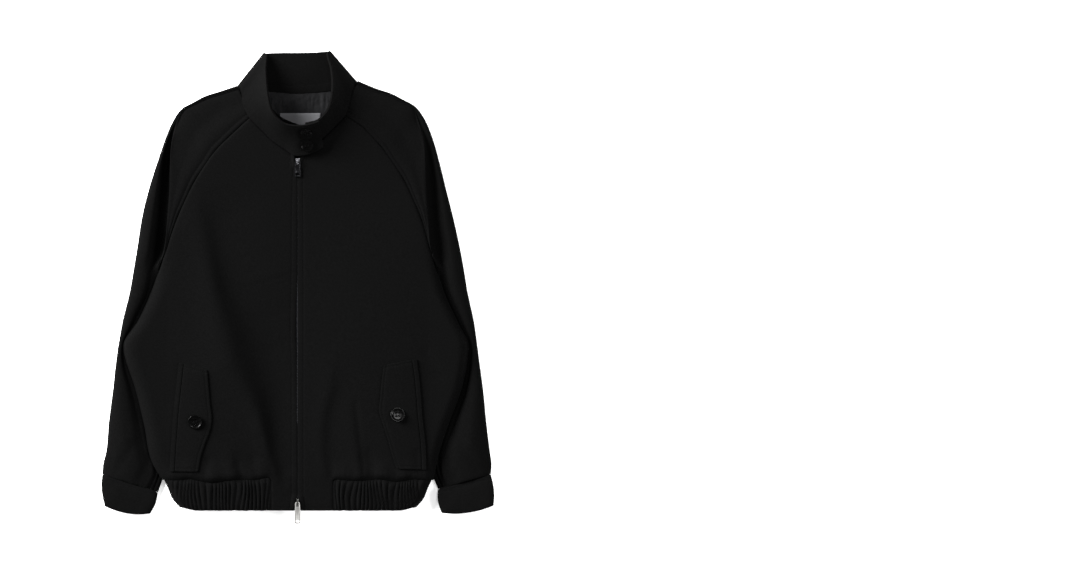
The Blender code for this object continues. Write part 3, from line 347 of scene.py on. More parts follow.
def through(points, at):
    """Point at a fractional index of the smooth curve through the points."""
    low = min(int(at), len(points) - 2)
    part = at - low
    first, second = points[low], points[low + 1]
    span = max(math.dist(first, second), 1e-6)
    pull = []
    for here, other in ((first, low - 1), (second, low + 2)):
        ahead = [(b - a) / span for a, b in zip(first, second)]
        if 0 <= other < len(points):
            gap = max(math.dist(here, points[other]), 1e-6)
            sign = 1.0 if other > low else -1.0
            beyond = [sign * (b - a) / gap for a, b in zip(here, points[other])]
            ahead = [(b * span + a * gap) / (span + gap) for a, b in zip(ahead, beyond)]
        pull.append([value * span for value in ahead])
    square, cube = part * part, part * part * part
    weights = (2 * cube - 3 * square + 1, cube - 2 * square + part, 3 * square - 2 * cube, cube - square)
    return tuple(weights[0] * a + weights[1] * m + weights[2] * b + weights[3] * n
                 for a, m, b, n in zip(first, pull[0], second, pull[1]))


def cuts(lengths, pitch):
    """Fractional indices that cut each stretch into steps of about the pitch."""
    places = [0.0]
    for index, length in enumerate(lengths):
        count = max(1, math.ceil(length / pitch))
        places += [index + (step + 1) / count for step in range(count)]
    return places


def steps_between(points):
    """Distances from each point to the next."""
    return [math.dist(first, second) for first, second in zip(points, points[1:])]


def evenly(points, pitch):
    """Points at about an even pitch on the smooth curve through the given ones."""
    return [through(points, at) for at in cuts(steps_between(points), pitch)]


def denser(lines, pitch):
    """The lines of points, cut alike so that the widest step is no longer than the pitch."""
    places = cuts([max(steps) for steps in zip(*(steps_between(line) for line in lines))], pitch)
    return [[through(line, at) for at in places] for line in lines]


def refined(rows, pitch_down, pitch_across):
    """The grid of points on a smooth surface, at a finer pitch both ways."""
    columns = list(zip(*denser(rows, pitch_across)))
    return list(zip(*denser(columns, pitch_down)))


def above_floor(rows):
    """The grid with nothing below the floor."""
    return [[(out, up, max(rise, 0.0)) for out, up, rise in row] for row in rows]


def place(out, up, rise):
    """Garment millimetres to metres in the part's frame."""
    return Vector((out * MM, (up - MIDDLE_UP) * MM, rise * MM))


def groove(distance, depth=0.5, half=1.0):
    """How far a line of stitches draws the cloth in."""
    return depth * math.exp(-(distance / half) ** 2)


def unevenness(x, y, size, seed):
    """Smooth value from -1 to 1 that changes over about the size."""
    return noise.noise(Vector((x / size, y / size, seed)))


def rounded_corner(along, across, radius):
    """Distances from the two edges of a corner, moved so that the corner is an arc."""
    if along >= radius or across >= radius:
        return along, across
    first, second = (radius - along) / radius, (radius - across) / radius
    reach = math.hypot(first, second)
    if reach == 0.0:
        return along, across
    scale = max(first, second) / reach
    return radius * (1.0 - first * scale), radius * (1.0 - second * scale)


# ---------------------------------------------------------------- forms of the fronts
CHEST_HALF = 215.0          # from the zip to where the crown ends
CROWN_BY_UP = [(0.0, 0.3), (60.0, 0.6), (250.0, 1.0), (400.0, 0.5), (520.0, 0.0)]
HEM_FALL_BY_UP = [(0.0, -3.0), (60.0, -0.5), (120.0, 0.0)]
ZIP_PARTED = {-1: 2.1, 1: 0.25}     # how far each front draws back from the teeth at the chest
PARTED_FROM, PARTED_TO = 226.0, 416.0
ZIP_STITCH = 9.5            # from the zip's edge
ZIP_COLUMNS = (0.0, 0.8, 2.0, 4.5, 7.0, 8.4, 9.5, 10.6, 12.0, 14.5)
PLAIN_STEPS, FRONT_STEPS = 14, 60   # columns of the plain tab and of the rest of a front
FRONT_PITCH = 3.2           # between the front's rows
TAB_LEVELS = (0.0, 0.5, 1.5, 3.0, 4.0, 5.0, 7.0) + tuple(range(10, 50, 3))
HEM_EDGE_NOTCH = 5.4        # how far the plain tab's lower corner is cut back from the zip
TOP_SLIDER_UP, BOTTOM_SLIDER_UP = 574.0, 13.5
SLIDER_LIFT = 2.0           # how far the plate of a slider lifts the fronts' edges
SEAM_SINK = 1.5             # how deep a seam draws in both its edges
NECK_ALLOWANCE = ((1.2, 0.4), (2.6, 1.6), (4.2, 2.8))           # beyond the neck seam, fall
LIP = ((0.9, -0.35), (1.6, -1.2), (1.9, -2.3), (1.6, -3.4))     # beyond the side edge, rise
HEM_GATHERS_END = 216.0     # where the gathered hem's seam is straight again
PUFF_TOP = 40.0             # how far above the hem's seam the puffs end
SMALL_GATHER, SMALL_GATHER_HEIGHT = 9.0, 0.5


def segment_trough(out, up, fold):
    """Depth at a place of one fold, fading across it and at its ends."""
    _, first_out, first_up, last_out, last_up, half, depth = fold
    run_out, run_up = last_out - first_out, last_up - first_up
    share = clamp(((out - first_out) * run_out + (up - first_up) * run_up) / (run_out ** 2 + run_up ** 2))
    away = math.hypot(out - first_out - run_out * share, up - first_up - run_up * share)
    return depth * math.exp(-(away / half) ** 2)


def fall(x, up, line):
    """How far a place lies below the cloth's general level because of one soft fold."""
    nearest = None
    for (x0, up0, fall0, soft0), (x1, up1, fall1, soft1) in zip(line, line[1:]):
        run_x, run_up = x1 - x0, up1 - up0
        share = clamp(((x - x0) * run_x + (up - up0) * run_up) / (run_x ** 2 + run_up ** 2))
        off_x, off_up = x - x0 - run_x * share, up - up0 - run_up * share
        away = math.hypot(off_x, off_up)
        if nearest is None or away < nearest[0]:
            nearest = (away, off_x, mix(fall0, fall1, share), mix(soft0, soft1, share))
    away, off_x, height, soft = nearest
    side = math.copysign(1, off_x)
    drop = 0.7 * math.tanh(away / soft) + 0.3 * math.tanh(away / soft / 3.0)
    return 0.5 * height * side * drop * math.exp(-(away / soft / FALL_REACH[side]) ** 2)


def front_plateau(side, out, up):
    """Top of a front where its side edge is not rolled."""
    crown = CHEST_CROWN * math.sin(math.pi * clamp(out / CHEST_HALF)) * table_value(CROWN_BY_UP, up)
    folds = sum(fall(side * out, up, line) for line in FRONT_FALLS[side])
    fine = sum(segment_trough(out, up, fold) for fold in FINE_FOLDS if fold[0] == side)
    return CHEST_RISE + table_value(HEM_FALL_BY_UP, up) + crown - folds - fine


def rolled(edge_rise, flat_rise, away, width):
    """Rise at a distance from an edge that rolls down to edge_rise in a quarter round."""
    return mix(edge_rise, flat_rise, math.sqrt(1.0 - (1.0 - clamp(away / width)) ** 2.2))


def side_stations(side):
    """Outer edge of a front as (out, up, zip up, edge rise)."""
    return [(row[0], row[1], row[4], row[5]) if side < 0 else (row[2], row[3], row[4], row[5])
            for row in FRONT_EDGE]


def zip_half_gap(up, side=1):
    """From the zip's middle to a front: nearly shut, parted at the chest and at the top."""
    slit = 0.15 + ZIP_PARTED[side] * ease((up - PARTED_FROM) / 70.0) * ease((PARTED_TO - up) / 120.0)
    return mix(slit, ZIP_MOUTH_HALF, ease((up - ZIP_MOUTH) / (ZIP_TOP - ZIP_MOUTH)))


def front_shares(width, plain):
    """Shares of a front's width at its columns: close by the zip, one at the plain tab's end."""
    shares = [distance / width for distance in ZIP_COLUMNS]
    first = shares[-1]
    shares += [mix(first, plain, (step + 1) / PLAIN_STEPS) for step in range(PLAIN_STEPS)]
    last = 1.0 - 2.6 / width
    shares += [mix(plain, last, (step + 1) / FRONT_STEPS) for step in range(FRONT_STEPS)]
    return shares + [1.0 - 1.2 / width, 1.0]


def over_slider(out, up):
    """How far a front's edge is lifted where it lies over the plate of a slider."""
    return sum(SLIDER_LIFT * (1.0 - ease((abs(up - middle) - 6.5) / 9.0)) * (1.0 - ease((out - 5.0) / 8.0))
               for middle in (TOP_SLIDER_UP, BOTTOM_SLIDER_UP))


def tab_rows(side, width, plain):
    """The front's plain tab down to the hem's edge; the columns beyond it are empty."""
    rows = []
    for up in TAB_LEVELS:
        row = []
        notch = HEM_EDGE_NOTCH * (1.0 - clamp(up / 24.0)) ** 0.8
        for column, share in enumerate(front_shares(width, plain)):
            out = zip_half_gap(up) + width * share
            if column < len(ZIP_COLUMNS) + PLAIN_STEPS:
                out += notch * (1.0 - share / plain)
                rise = front_plateau(side, out, up) - groove(share * width - ZIP_STITCH, 0.5, 0.9)
                rise -= groove(share * width, 0.5, 1.2) + groove(up - 4.0, 0.35, 0.9)
                rise += over_slider(out, up)
                fold = HEM_PLAIN_WIDTH[side] - out
                rise -= 0.5 * (1.0 - ease(up / 1.5)) + 0.7 * (1.0 - ease(fold / 2.0))
                row.append((side * out, up, rise))
            else:
                row.append(None)
        rows.append(row + [None] * len(LIP))
    return rows


def lip_points(row, deeper, wider, climbed):
    """The rolled lip beyond a row's last point, on the line that the row ends with."""
    last, before = row[-1], row[-3]
    reach = math.dist(last[:2], before[:2])
    run = [(a - b) / reach for a, b in zip(last[:2], before[:2])]
    return [(last[0] + run[0] * beyond * wider, last[1] + run[1] * beyond * wider,
             last[2] + drop * wider * deeper + climbed * drop / abs(LIP[-1][1]))
            for beyond, drop in LIP]


def neck_allowance_rows(side, neck_row):
    """The front's seam allowance below the collar, beyond its last row."""
    rows = []
    for beyond, drop in NECK_ALLOWANCE:
        row = []
        for column, point in enumerate(neck_row):
            first = neck_row[max(column - 2, 0)]
            second = neck_row[min(column + 2, len(neck_row) - len(LIP) - 1)]
            reach = max(math.dist(first[:2], second[:2]), 0.1)
            aside = [-abs(first[1] - second[1]) * side / reach, abs(first[0] - second[0]) / reach]
            row.append((point[0] + aside[0] * beyond, point[1] + aside[1] * beyond, point[2] - drop))
        rows.append(row)
    return rows


def front_rows(side):
    """Outer face of a front, with the rolled lip of its side edge in the last columns."""
    stations = side_stations(side)
    lengths = steps_between([station[:2] for station in stations])
    neck = [row[:2] if side < 0 else row[2:] for row in NECK_CURVE]
    plain = HEM_PLAIN_WIDTH[side] / stations[0][0]
    rows = tab_rows(side, stations[0][0] - zip_half_gap(0.0), plain)
    for at in cuts(lengths, FRONT_PITCH):
        edge_out, edge_up, zip_up, edge_rise = through(stations, at)
        inner = zip_half_gap(zip_up, side)
        width = edge_out - inner
        bend = ease((at - FIRST_RAGLAN) / (len(stations) - 1.0 - FIRST_RAGLAN))
        row = []
        for share in front_shares(width, plain):
            out, up = mix(inner, edge_out, share), mix(zip_up, edge_up, share)
            neck_out, neck_up = through(neck, share * (len(neck) - 1))
            out += (neck_out - mix(neck[0][0], neck[-1][0], share)) * bend
            up += (neck_up - mix(neck[0][1], neck[-1][1], share)) * bend
            seam = mix(stations[0][2], stations[0][1], share)
            up += (hem_seam_up(side, out) - seam) * (1.0 - ease(at))
            away = math.hypot(edge_out - out, edge_up - up)
            rise = rolled(edge_rise, front_plateau(side, out, up), away, ROLL_WIDTH[side])
            rise -= groove(share * width - ZIP_STITCH, 0.5, 0.9) + groove(share * width, 0.5, 1.2)
            rise -= SEAM_SINK * groove(away, 1.0, 1.3) * ease(at - HIDDEN_END)
            row.append((side * out, up, rise + front_puffs(side, out, up) + over_slider(out, up)))
        wider = 1.0 - ease((at - HIDDEN_END - 0.15) / 0.6)
        deeper = 1.0 + 0.35 * ease((at - HIDDEN_END + 0.6) / 0.5)
        climbed = max(0.0, edge_rise - stations[HIDDEN_END][3])
        climbed *= 1.0 - ease((at - HIDDEN_END - 0.45) / 0.35)
        rows.append(row + lip_points(row, deeper, wider, climbed))
    return rows + neck_allowance_rows(side, rows[-1])


def hem_seam_up(side, out):
    """Level of the seam between a front and its hem band."""
    away = ease((out - HEM_PLAIN_WIDTH[side]) / 4.0) * ease((HEM_GATHERS_END - out) / 12.0)
    return HEM_DEPTH + 0.3 + away * sum(high * math.exp(-((out - middle) / half) ** 2)
                                        for wave_side, middle, half, high in HEM_SEAM_WAVES
                                        if wave_side == side)


def front_puffs(side, out, up):
    """How far the front swells just above the hem seam, and its fall to the seam."""
    above = up - hem_seam_up(side, out)
    if above > PUFF_TOP:
        return 0.0
    gathered = ease((out - HEM_PLAIN_WIDTH[side]) / 3.0)
    swell = 0.6 * ease((out - 40.0) / 25.0)
    swell += sum(height * math.exp(-((out - middle) / half) ** 2)
                 for puff_side, middle, half, height in HEM_PUFFS if puff_side == side)
    shape = ease(above / 8.0) * (1.0 - ease((above - 8.0) / 30.0))
    drift = 3.0 * unevenness(out, 0.0, 20.0, 9.0)
    small = SMALL_GATHER_HEIGHT * abs(math.sin(math.pi * (out + drift) / SMALL_GATHER))
    gathers = small * ease(above / 5.0) * (1.0 - ease((above - 5.0) / 18.0))
    return gathered * ((swell * 1.2) * shape + gathers - 0.9 * (1.0 - ease(above / 3.5)))


# ---------------------------------------------------------------- forms of the back
BACK_CLIMB = [(8.0, 0.0), (30.0, 0.35), (50.0, 0.76), (58.0, 1.0)]      # share of the climb by up
BODY_ROWS = 11              # rows of the back that end on the front's own edge


def sleeve_inner_out(up):
    """Distance out of the under sleeve's hidden fold."""
    return table_value(sorted((row[0], row[1]) for row in UNDER_SLEEVE), up)


def back_rise(out, up):
    """Underside of the back panel: on the floor, and climbing onto the sleeve at the side."""
    strength = table_value(BACK_CLIMB, up) * (1.0 - ease((up - 385.0) / 60.0))
    start = sleeve_inner_out(up) - EDGE_DROP
    return BACK_OVER_SLEEVE * strength * ease((out - start) / (EDGE_DROP - 3.0))


def back_rows(side):
    """Underside of a back panel, from the centre seam to its outer edge."""
    below = [(out, up, zip_up) for out, up, zip_up, _ in with_halves(side_stations(side))[:BODY_ROWS]]
    rows = []
    for index, (edge_out, edge_up, centre_up) in enumerate(below + BACK_EDGE):
        start = min(sleeve_inner_out(edge_up) - EDGE_DROP, edge_out - EDGE_DROP - 2.0)
        end = edge_out - (LIP_ROOM if index < BODY_ROWS else 0.0)
        climb = [start + share * (EDGE_DROP - 3.0) for share in (0.0, 0.3, 0.5, 0.7, 1.0)]
        climb = [min(out, end - 1.0 - 0.1 * (5 - step)) for step, out in enumerate(climb)]
        row = []
        for out in [0.3, 0.5 * start] + climb + [0.5 * (climb[-1] + end), end]:
            up = mix(centre_up, edge_up, out / edge_out)
            row.append((side * out, up, back_rise(out, up)))
        rows.append(row)
    return above_floor(refined(rows, 5.0, 5.0))


# ---------------------------------------------------------------- forms of the sleeves
OVER_ARM_SEAM = 4.6         # from the sleeve's upper edge
UNDER_COLLAR = ((-3.4, 1.4), (-3.4, 1.4), (-2.6, 2.0))      # seam allowance of the neck row
RAGLAN_STITCH = 8.0         # from the raglan seam
RAGLAN_ALLOWANCE = ((2.8, 4.3), (0.8, 4.2), (0.3, 2.8))     # under the front, fall
PLATEAU_STEPS = (0.0, 0.05, 0.2, 0.4, 0.6, 0.8)             # shares, where the sleeve is narrow
STITCH_STEPS = (0.0, 1.0, 3.5, 6.6, 8.0, 9.4)               # from the seam, where it is wide
TUCK_DEPTH = {-1: 6.0, 1: 2.6}      # how much deeper the tuck beside the sleeve's fold is
TUCK_WIDTH = {-1: 14.0, 1: 19.0}
LOW_LIFT = {-1: 1.0, 1: 3.5}        # how much fuller the sleeve is below that tuck
CREST_LIFT = {-1: 3.4, 1: 1.2}      # how much higher the sleeve swells beyond it
OUTER_PARTS = (0.42, 0.64, 0.82, 0.94, 0.985, 1.0)          # shares of the way to the outer edge


def cuff_seam_up(side, out):
    """Level of the straight seam between sleeve and cuff."""
    inner_out, inner_up, outer_out, outer_up = CUFF_SEAM[side]
    return mix(inner_up, outer_up, (out - inner_out) / (outer_out - inner_out))


def on_cuff_seam(side, out):
    """Place of a sleeve's lower edge, just clear of the cuff."""
    return out, cuff_seam_up(side, out) + 2.0 * SEAM_GAP


def sleeve_stations(side):
    """Rows of the sleeve's upper layer: inner, fold and outer places with four rises."""
    raglan = with_halves(side_stations(side))[2 * FIRST_RAGLAN:][::-1]
    stations = []
    for (in_out, in_up, _, in_rise), cap in zip(raglan, SLEEVE_CAP):
        fold_out, fold_up, left_out, left_up, right_out, right_up, fold, valley, crest = cap
        edge = (left_out, left_up) if side < 0 else (right_out, right_up)
        near = 1.0 - OVER_ARM_SEAM / math.dist(edge, (fold_out, fold_up))
        fold_out, fold_up = blend_points((fold_out, fold_up), edge, near * ease((fold_up - 640.0) / 20.0))
        stations.append(((in_out + SEAM_GAP, in_up + SEAM_GAP), (fold_out, fold_up), edge,
                         (in_rise, fold, valley, crest)))
    for row, rises in zip(SLEEVE_ARM, SLEEVE_ARM_RISES):
        places = (row[:2], row[2:4], row[4:6]) if side < 0 else (row[:2], row[6:8], row[8:])
        inner, fold, edge = (on_cuff_seam(side, out) if up is None else (out, up)
                             for out, up in places)
        stations.append((inner, fold, edge, rises))
    tucked = [(out + more_out, up + more_up) for (out, up), (more_out, more_up)
              in zip(stations[0][:3], UNDER_COLLAR)]
    stations[0] = (*tucked, stations[0][3])
    return stations


def sleeve_profile(side, inner, fold, edge, rises):
    """Points of one sleeve row from the inner seam over the fold to the outer edge."""
    in_rise, fold_rise, valley, crest = rises
    span = math.dist(edge, fold)
    plateau = math.dist(fold, inner)
    lip = min(4.0, 0.3 * plateau)
    dip = min(9.0, 0.3 * span)
    end = 1.0 - lip / plateau
    wide = ease((plateau - 14.0) / 8.0)
    tucked = ease((in_rise - 13.0) / 8.0)       # 1 on the raglan seam, 0 down the arm
    points = [(blend_points(inner, fold, -tucked * distance / plateau),
               in_rise - mix(SEAM_SINK, fall, tucked)) for distance, fall in RAGLAN_ALLOWANCE]

    def level(share):
        return mix(in_rise, fold_rise, share / end) + 0.3 * math.sin(math.pi * share)

    for share, distance in zip(PLATEAU_STEPS, STITCH_STEPS):
        share = mix(share * end, distance / plateau, wide)
        top = level(share) - groove(share * plateau - RAGLAN_STITCH, 0.5, 1.1) * wide
        points.append((blend_points(inner, fold, share),
                       top - SEAM_SINK * groove(share * plateau, 1.0, 1.3)))
    middle = 0.5 * (math.dist(points[-1][0], inner) / plateau + end)
    points.append((blend_points(inner, fold, middle), level(middle)))
    points.append((blend_points(inner, fold, end), fold_rise))

    def beyond(distance, rise):
        points.append((blend_points(fold, edge, distance / span), rise))

    deep = ease((fold_rise - valley - 3.0) / 7.0)
    low = mix(valley + 0.4 * LOW_LIFT[side], valley - TUCK_DEPTH[side], deep)
    crest += mix(LOW_LIFT[side], CREST_LIFT[side], deep)
    tuck = mix(dip, min(TUCK_WIDTH[side], 0.55 * span), deep)
    seam = ease((fold[1] - 615.0) / 35.0)
    beyond(0.0, fold_rise - 0.5 * deep - SEAM_SINK * seam)
    beyond(mix(mix(0.3 * dip, 1.1, seam), 0.1, deep),
           mix(fold_rise, low, mix(mix(0.5, 0.04, seam), 0.2, deep)))
    beyond(mix(0.6 * dip, -0.6, deep), mix(fold_rise, low, mix(0.85, 0.6, deep)))
    beyond(mix(0.85 * dip, -0.3, deep), mix(fold_rise, low, mix(0.97, 0.92, deep)))
    beyond(mix(dip, 0.3 * tuck, deep), low)
    beyond(mix(dip + 0.1 * (span - dip), 0.8 * tuck, deep), mix(low, crest, mix(0.3, 0.2, deep)))
    beyond(tuck + mix(0.22, 0.16, deep) * (span - tuck), mix(low, crest, mix(0.76, 0.66, deep)))
    for part in OUTER_PARTS:
        turn = (part - OUTER_PARTS[0]) / (1.0 - OUTER_PARTS[0])
        beyond(tuck + part * (span - tuck),
               EDGE_RISE + (crest - EDGE_RISE) * math.sqrt(max(0.0, 1.0 - turn ** 2.4)))
    return points


def sleeve_front_rows(side):
    """Outer face of the sleeve's upper layer."""
    rows = [[(side * out, up, rise) for (out, up), rise in sleeve_profile(side, *station)]
            for station in sleeve_stations(side)]
    bent = []
    for row in refined(rows, 4.0, 2.6):
        line = []
        for column, (out, up, rise) in enumerate(row):
            crease = sum(segment_trough(abs(out), up, fold) for fold in SLEEVE_FOLDS
                         if fold[0] == side)
            fade = min(1.0, (len(row) - 1 - column) / 5.0, column / 4.0)
            seam = 0.8 * (1.0 - ease((up - cuff_seam_up(side, abs(out))) / 5.0))
            line.append((out, up, rise - (crease + seam) * fade))
        bent.append(line)
    return bent


def sleeve_back_rows(side):
    """The sleeve's lower layer on the floor, from its back seam to the outer edge."""
    rows = []
    for (_, _, edge, _), (seam_out, seam_up) in zip(sleeve_stations(side), SLEEVE_BACK_SEAM):
        inner = (seam_out + SEAM_GAP, seam_up + (2.0 if seam_up == SLEEVE_BACK_SEAM[0][1] else 0.0))
        if (seam_out, seam_up) == SLEEVE_BACK_SEAM[-1]:
            inner = on_cuff_seam(side, inner[0])
        across = [blend_points(inner, edge, step / 4.0) for step in range(5)]
        rows.append([(side * out, up, 0.0) for out, up in across])
    return refined(rows, 6.0, 6.0)


def under_sleeve_rows(side):
    """The under sleeve from the floor seam round its hidden fold to the upper seam."""
    top = SLEEVE_LOW_RISE
    rows = []
    for up, fold, upper, floor_out, floor_up in UNDER_SLEEVE:
        profile = [(floor_out - SEAM_GAP, 0.0), (fold + 6.0, 0.0), (fold + 1.7, 0.8),
                   (fold, 0.5 * top), (fold + 1.7, top - 0.8), (fold + 5.5, top),
                   (upper - SEAM_GAP, top)]
        row = []
        for out, rise in profile:
            here = mix(up, floor_up, (out - fold) / (floor_out - fold)) if rise < 1.0 else up
            if up < 40.0:
                _, here = on_cuff_seam(side, out)
            row.append((side * out, here, rise))
        rows.append(row)
    return above_floor(refined(rows, 6.0, 3.0))


# ---------------------------------------------------------------- forms of the hem
RIB_PITCH = 6.8
RIB_DEPTH = 3.7
RIB_LEAN = 9.0
HEM_SHARES = (0.0, 0.02, 0.05, 0.09, 0.15, 0.23, 0.32, 0.42, 0.52, 0.62, 0.72, 0.82, 0.9, 0.96, 1.0)
HEM_STITCH = 3.0            # below the seam
HEM_SIDE = 218.0
HEM_COLUMN = 0.8            # between the columns of a front band
BACK_COLUMNS = 272          # on each side of the back band's middle
HEM_ALLOWANCE = ((1.0, 0.9), (3.2, 2.2))        # above the seam, under the front: up, fall


def rib(out, share, seed):
    """Height from 0 to 1 of the gathers of the elastic band, uneven as gathers are."""
    lean = RIB_LEAN * (1.0 - share) ** 1.3 * unevenness(out, 0.0, 36.0, seed + 3.0)
    drift = 7.0 * unevenness(out, share * 30.0, 30.0, seed) + lean
    wave = abs(math.sin(math.pi * (out + drift) / RIB_PITCH))
    strength = 0.78 + 0.42 * unevenness(out, share * 18.0, 15.0, seed + 7.0)
    return strength * (1.0 - (1.0 - wave) ** 1.5)


def hem_row_end(share):
    """Side end of the hem at a share of its depth, 0 at the seam."""
    return through(HEM_CORNER, share * (len(HEM_CORNER) - 1))


def hem_front_rise(side, out, up, end_out, share):
    """Top of the front hem band: level with the front, rolled down at the side."""
    return rolled(mix(13.2, 7.6, share), front_plateau(side, out, up), end_out - out, ROLL_WIDTH[side])


def pinch(share):
    """How free the gathers are at a share of the band's depth: pinched at the seam."""
    return 0.35 + 0.65 * ease(share / 0.2) - 0.25 * ease((share - 0.86) / 0.14)


def gathered_front_rows(side):
    """Outer face of the front hem band, from its seam's allowance down to its lower edge."""
    first = HEM_PLAIN_WIDTH[side] + SEAM_GAP
    count = round((HEM_SIDE - first) / HEM_COLUMN)
    rows = []
    for share in HEM_SHARES:
        end_out, end_up = hem_row_end(share)
        row = []
        for step in range(count + 1):
            part = step / count
            out = mix(first, end_out, part)
            level = (hem_seam_up(side, out) - 0.7) * (1.0 - share)
            up = mix(level, end_up, ease((part - 0.8) / 0.2))
            rise = hem_front_rise(side, out, up, end_out, share)
            free = clamp((1.0 - part) * 14.0) * ease(part * 12.0 + 0.2)
            swell = rib(out, share, 5.0 + side) * pinch(share) * free
            edge = 0.8 * (1.0 - ease(share / 0.04)) + 0.7 * ease((share - 0.93) / 0.07)
            up += 0.9 * unevenness(out, 0.0, 9.0, 2.0) * ease((share - 0.6) / 0.4) * free
            row.append((side * out, up, rise + RIB_DEPTH * (swell - 0.35) - edge
                        - groove(share * HEM_DEPTH - HEM_STITCH, 0.4, 0.9)))
        rows.append(row)
    seam_row = rows[0]
    for beyond, drop in HEM_ALLOWANCE:
        rows.insert(0, [(out, up + beyond, rise - drop) for out, up, rise in seam_row])
    return rows


def gathered_back_rows():
    """Underside of the back hem band, on the floor and climbing at its sides."""
    rows = []
    for share in HEM_SHARES:
        end_out, end_up = hem_row_end(share)
        end_out -= 1.0
        level = (HEM_DEPTH - SEAM_GAP) * (1.0 - share)
        row = []
        for step in range(-BACK_COLUMNS, BACK_COLUMNS + 1):
            spread = step / BACK_COLUMNS
            out = abs(spread) * end_out
            up = mix(level, end_up, ease((abs(spread) - 0.8) / 0.2))
            free = clamp((1.0 - abs(spread)) * 14.0)
            wave = (1.0 - rib(spread * end_out, share, 11.0) * pinch(share)) * free
            row.append((spread * end_out, up, back_rise(out, up) + 1.5 * max(0.0, wave)))
        rows.append(row)
    return rows


# ---------------------------------------------------------------- forms of the cuffs
CUFF_STITCH = 4.0           # from the cuff's seam
CUFF_TUCK = (2.4, 2.8, 0.07)        # tucked part: underside rises, top falls, share it narrows
CUFF_COLUMNS = 96
TAB_PITCH = 2.0
TAB_CORNER = 8.0


def cuff_point(side, depth, share):
    """A place on the cuff: depth from seam to opening, share from inner to outer edge."""
    in_out, in_up, end_out, end_up = blend_points(CUFF_SEAM[side], CUFF_END[side], depth)
    bulge = CUFF_BULGE * math.sin(math.pi * depth) * (2.0 * share - 1.0)
    dip = CUFF_DIP * 4.0 * share * (1.0 - share) * depth
    return mix(in_out, end_out, share) + bulge, mix(in_up, end_up, share) - dip


def cuff_rows(side):
    """Closed bands round the wrist, from the part tucked into the sleeve to the opening."""
    rows = []
    for depth in CUFF_DEPTHS:
        low = table_value([row[:2] for row in CUFF_ROWS], depth)
        top = table_value([(row[0], row[2]) for row in CUFF_ROWS], depth)
        up_by, down_by, in_by = (size * ease(-depth / 0.016) for size in CUFF_TUCK)
        low, top = low + up_by, top - down_by
        row = []
        for step in range(CUFF_COLUMNS):
            angle = 2.0 * math.pi * (step + 0.5) / CUFF_COLUMNS
            across = math.copysign(abs(math.cos(angle)) ** 0.55, math.cos(angle))
            height = math.copysign(abs(math.sin(angle)) ** 0.5, math.sin(angle))
            out, up = cuff_point(side, depth, 0.5 + 0.5 * across * (1.0 - in_by))
            relief = (1.1 * unevenness(out, up, 26.0, 4.0 + side)
                      - groove(depth * CUFF_DEPTH - CUFF_STITCH, 0.4, 0.9)
                      - 0.9 * (1.0 - ease(depth / 0.04)) - 0.8 * ease((depth - 0.95) / 0.05))
            row.append((side * out, up, mix(low, top, 0.5 + 0.5 * height) + ease(height) * relief))
        rows.append(row)
    return rows


def cuff_tab_rows(side):
    """The cuff's tab below the cuff, its free corners rounded."""
    rows = []
    for depth, first, last in CUFF_TAB_SPAN:
        across = [cuff_point(side, depth, share) for share in (first, 0.5 * (first + last), last)]
        rows.append([(side * out, up, CUFF_TAB_RISE) for out, up in across])
    fine = refined(rows, TAB_PITCH, TAB_PITCH)
    low, right = len(fine) - 1, len(fine[0]) - 1
    shaped = []
    for r in range(low + 1):
        line = []
        for c in range(right + 1):
            down, across = rounded_corner((low - r) * TAB_PITCH, min(c, right - c) * TAB_PITCH, TAB_CORNER)
            at_row = low - down / TAB_PITCH
            at_col = across / TAB_PITCH if c <= right - c else right - across / TAB_PITCH
            upper = int(at_row)
            first = through(fine[upper], at_col)
            second = through(fine[min(upper + 1, low)], at_col)
            line.append(blend_points(first, second, at_row - upper))
        shaped.append(line)
    return shaped


# ---------------------------------------------------------------- form of the collar
COLLAR_PITCH = 2.4          # between the columns along the strip
COLLAR_BASE_MARKS = (0.0, 0.8, 2.4, 3.3, 4.0, 4.7, 6.5, 9.4, 10.4, 11.0, 11.6, 13.0)    # from the base
COLLAR_TOP_MARKS = (6.4, 4.8, 4.0, 3.2, 2.0, 0.9, 0.3, 0.0)     # from the top
COLLAR_ROWS = 26            # between those marks
COLLAR_STITCH_ROWS = (4, 9, -6)     # at 4 and 11 mm from the base and 4 mm from the top


def collar_strip():
    """Base and top points along the strip, with the folded corners rounded."""
    strip = list(COLLAR_FRONT_TAB_SIDE)

    def corner(side, order):
        base_x, base_y, top_x, top_y = COLLAR_CORNER[side]
        fold = [(base_x, base_y, COLLAR_FOLD_RISE, top_x, top_y, COLLAR_FOLD_RISE),
                (base_x + side * 2.6, base_y + 1.2, 0.5 * COLLAR_FOLD_RISE,
                 top_x + side * 2.6, top_y + 1.2, 0.5 * COLLAR_FOLD_RISE),
                (base_x, base_y, 0.0, top_x, top_y, 0.0)]
        strip.extend(fold[::order])

    corner(-1, 1)
    strip.extend((bx, by, 0.0, tx, ty, 0.0) for bx, by, tx, ty in COLLAR_BACK)
    corner(1, -1)
    strip.extend(COLLAR_FRONT_FAR_SIDE)
    return strip


def collar_marks(height):
    """Distances from the base at which the band's rows run."""
    first, last = COLLAR_BASE_MARKS[-1], height - COLLAR_TOP_MARKS[0]
    between = [mix(first, last, (step + 1) / (COLLAR_ROWS + 1)) for step in range(COLLAR_ROWS)]
    return [*COLLAR_BASE_MARKS, *between, *(height - mark for mark in COLLAR_TOP_MARKS)]


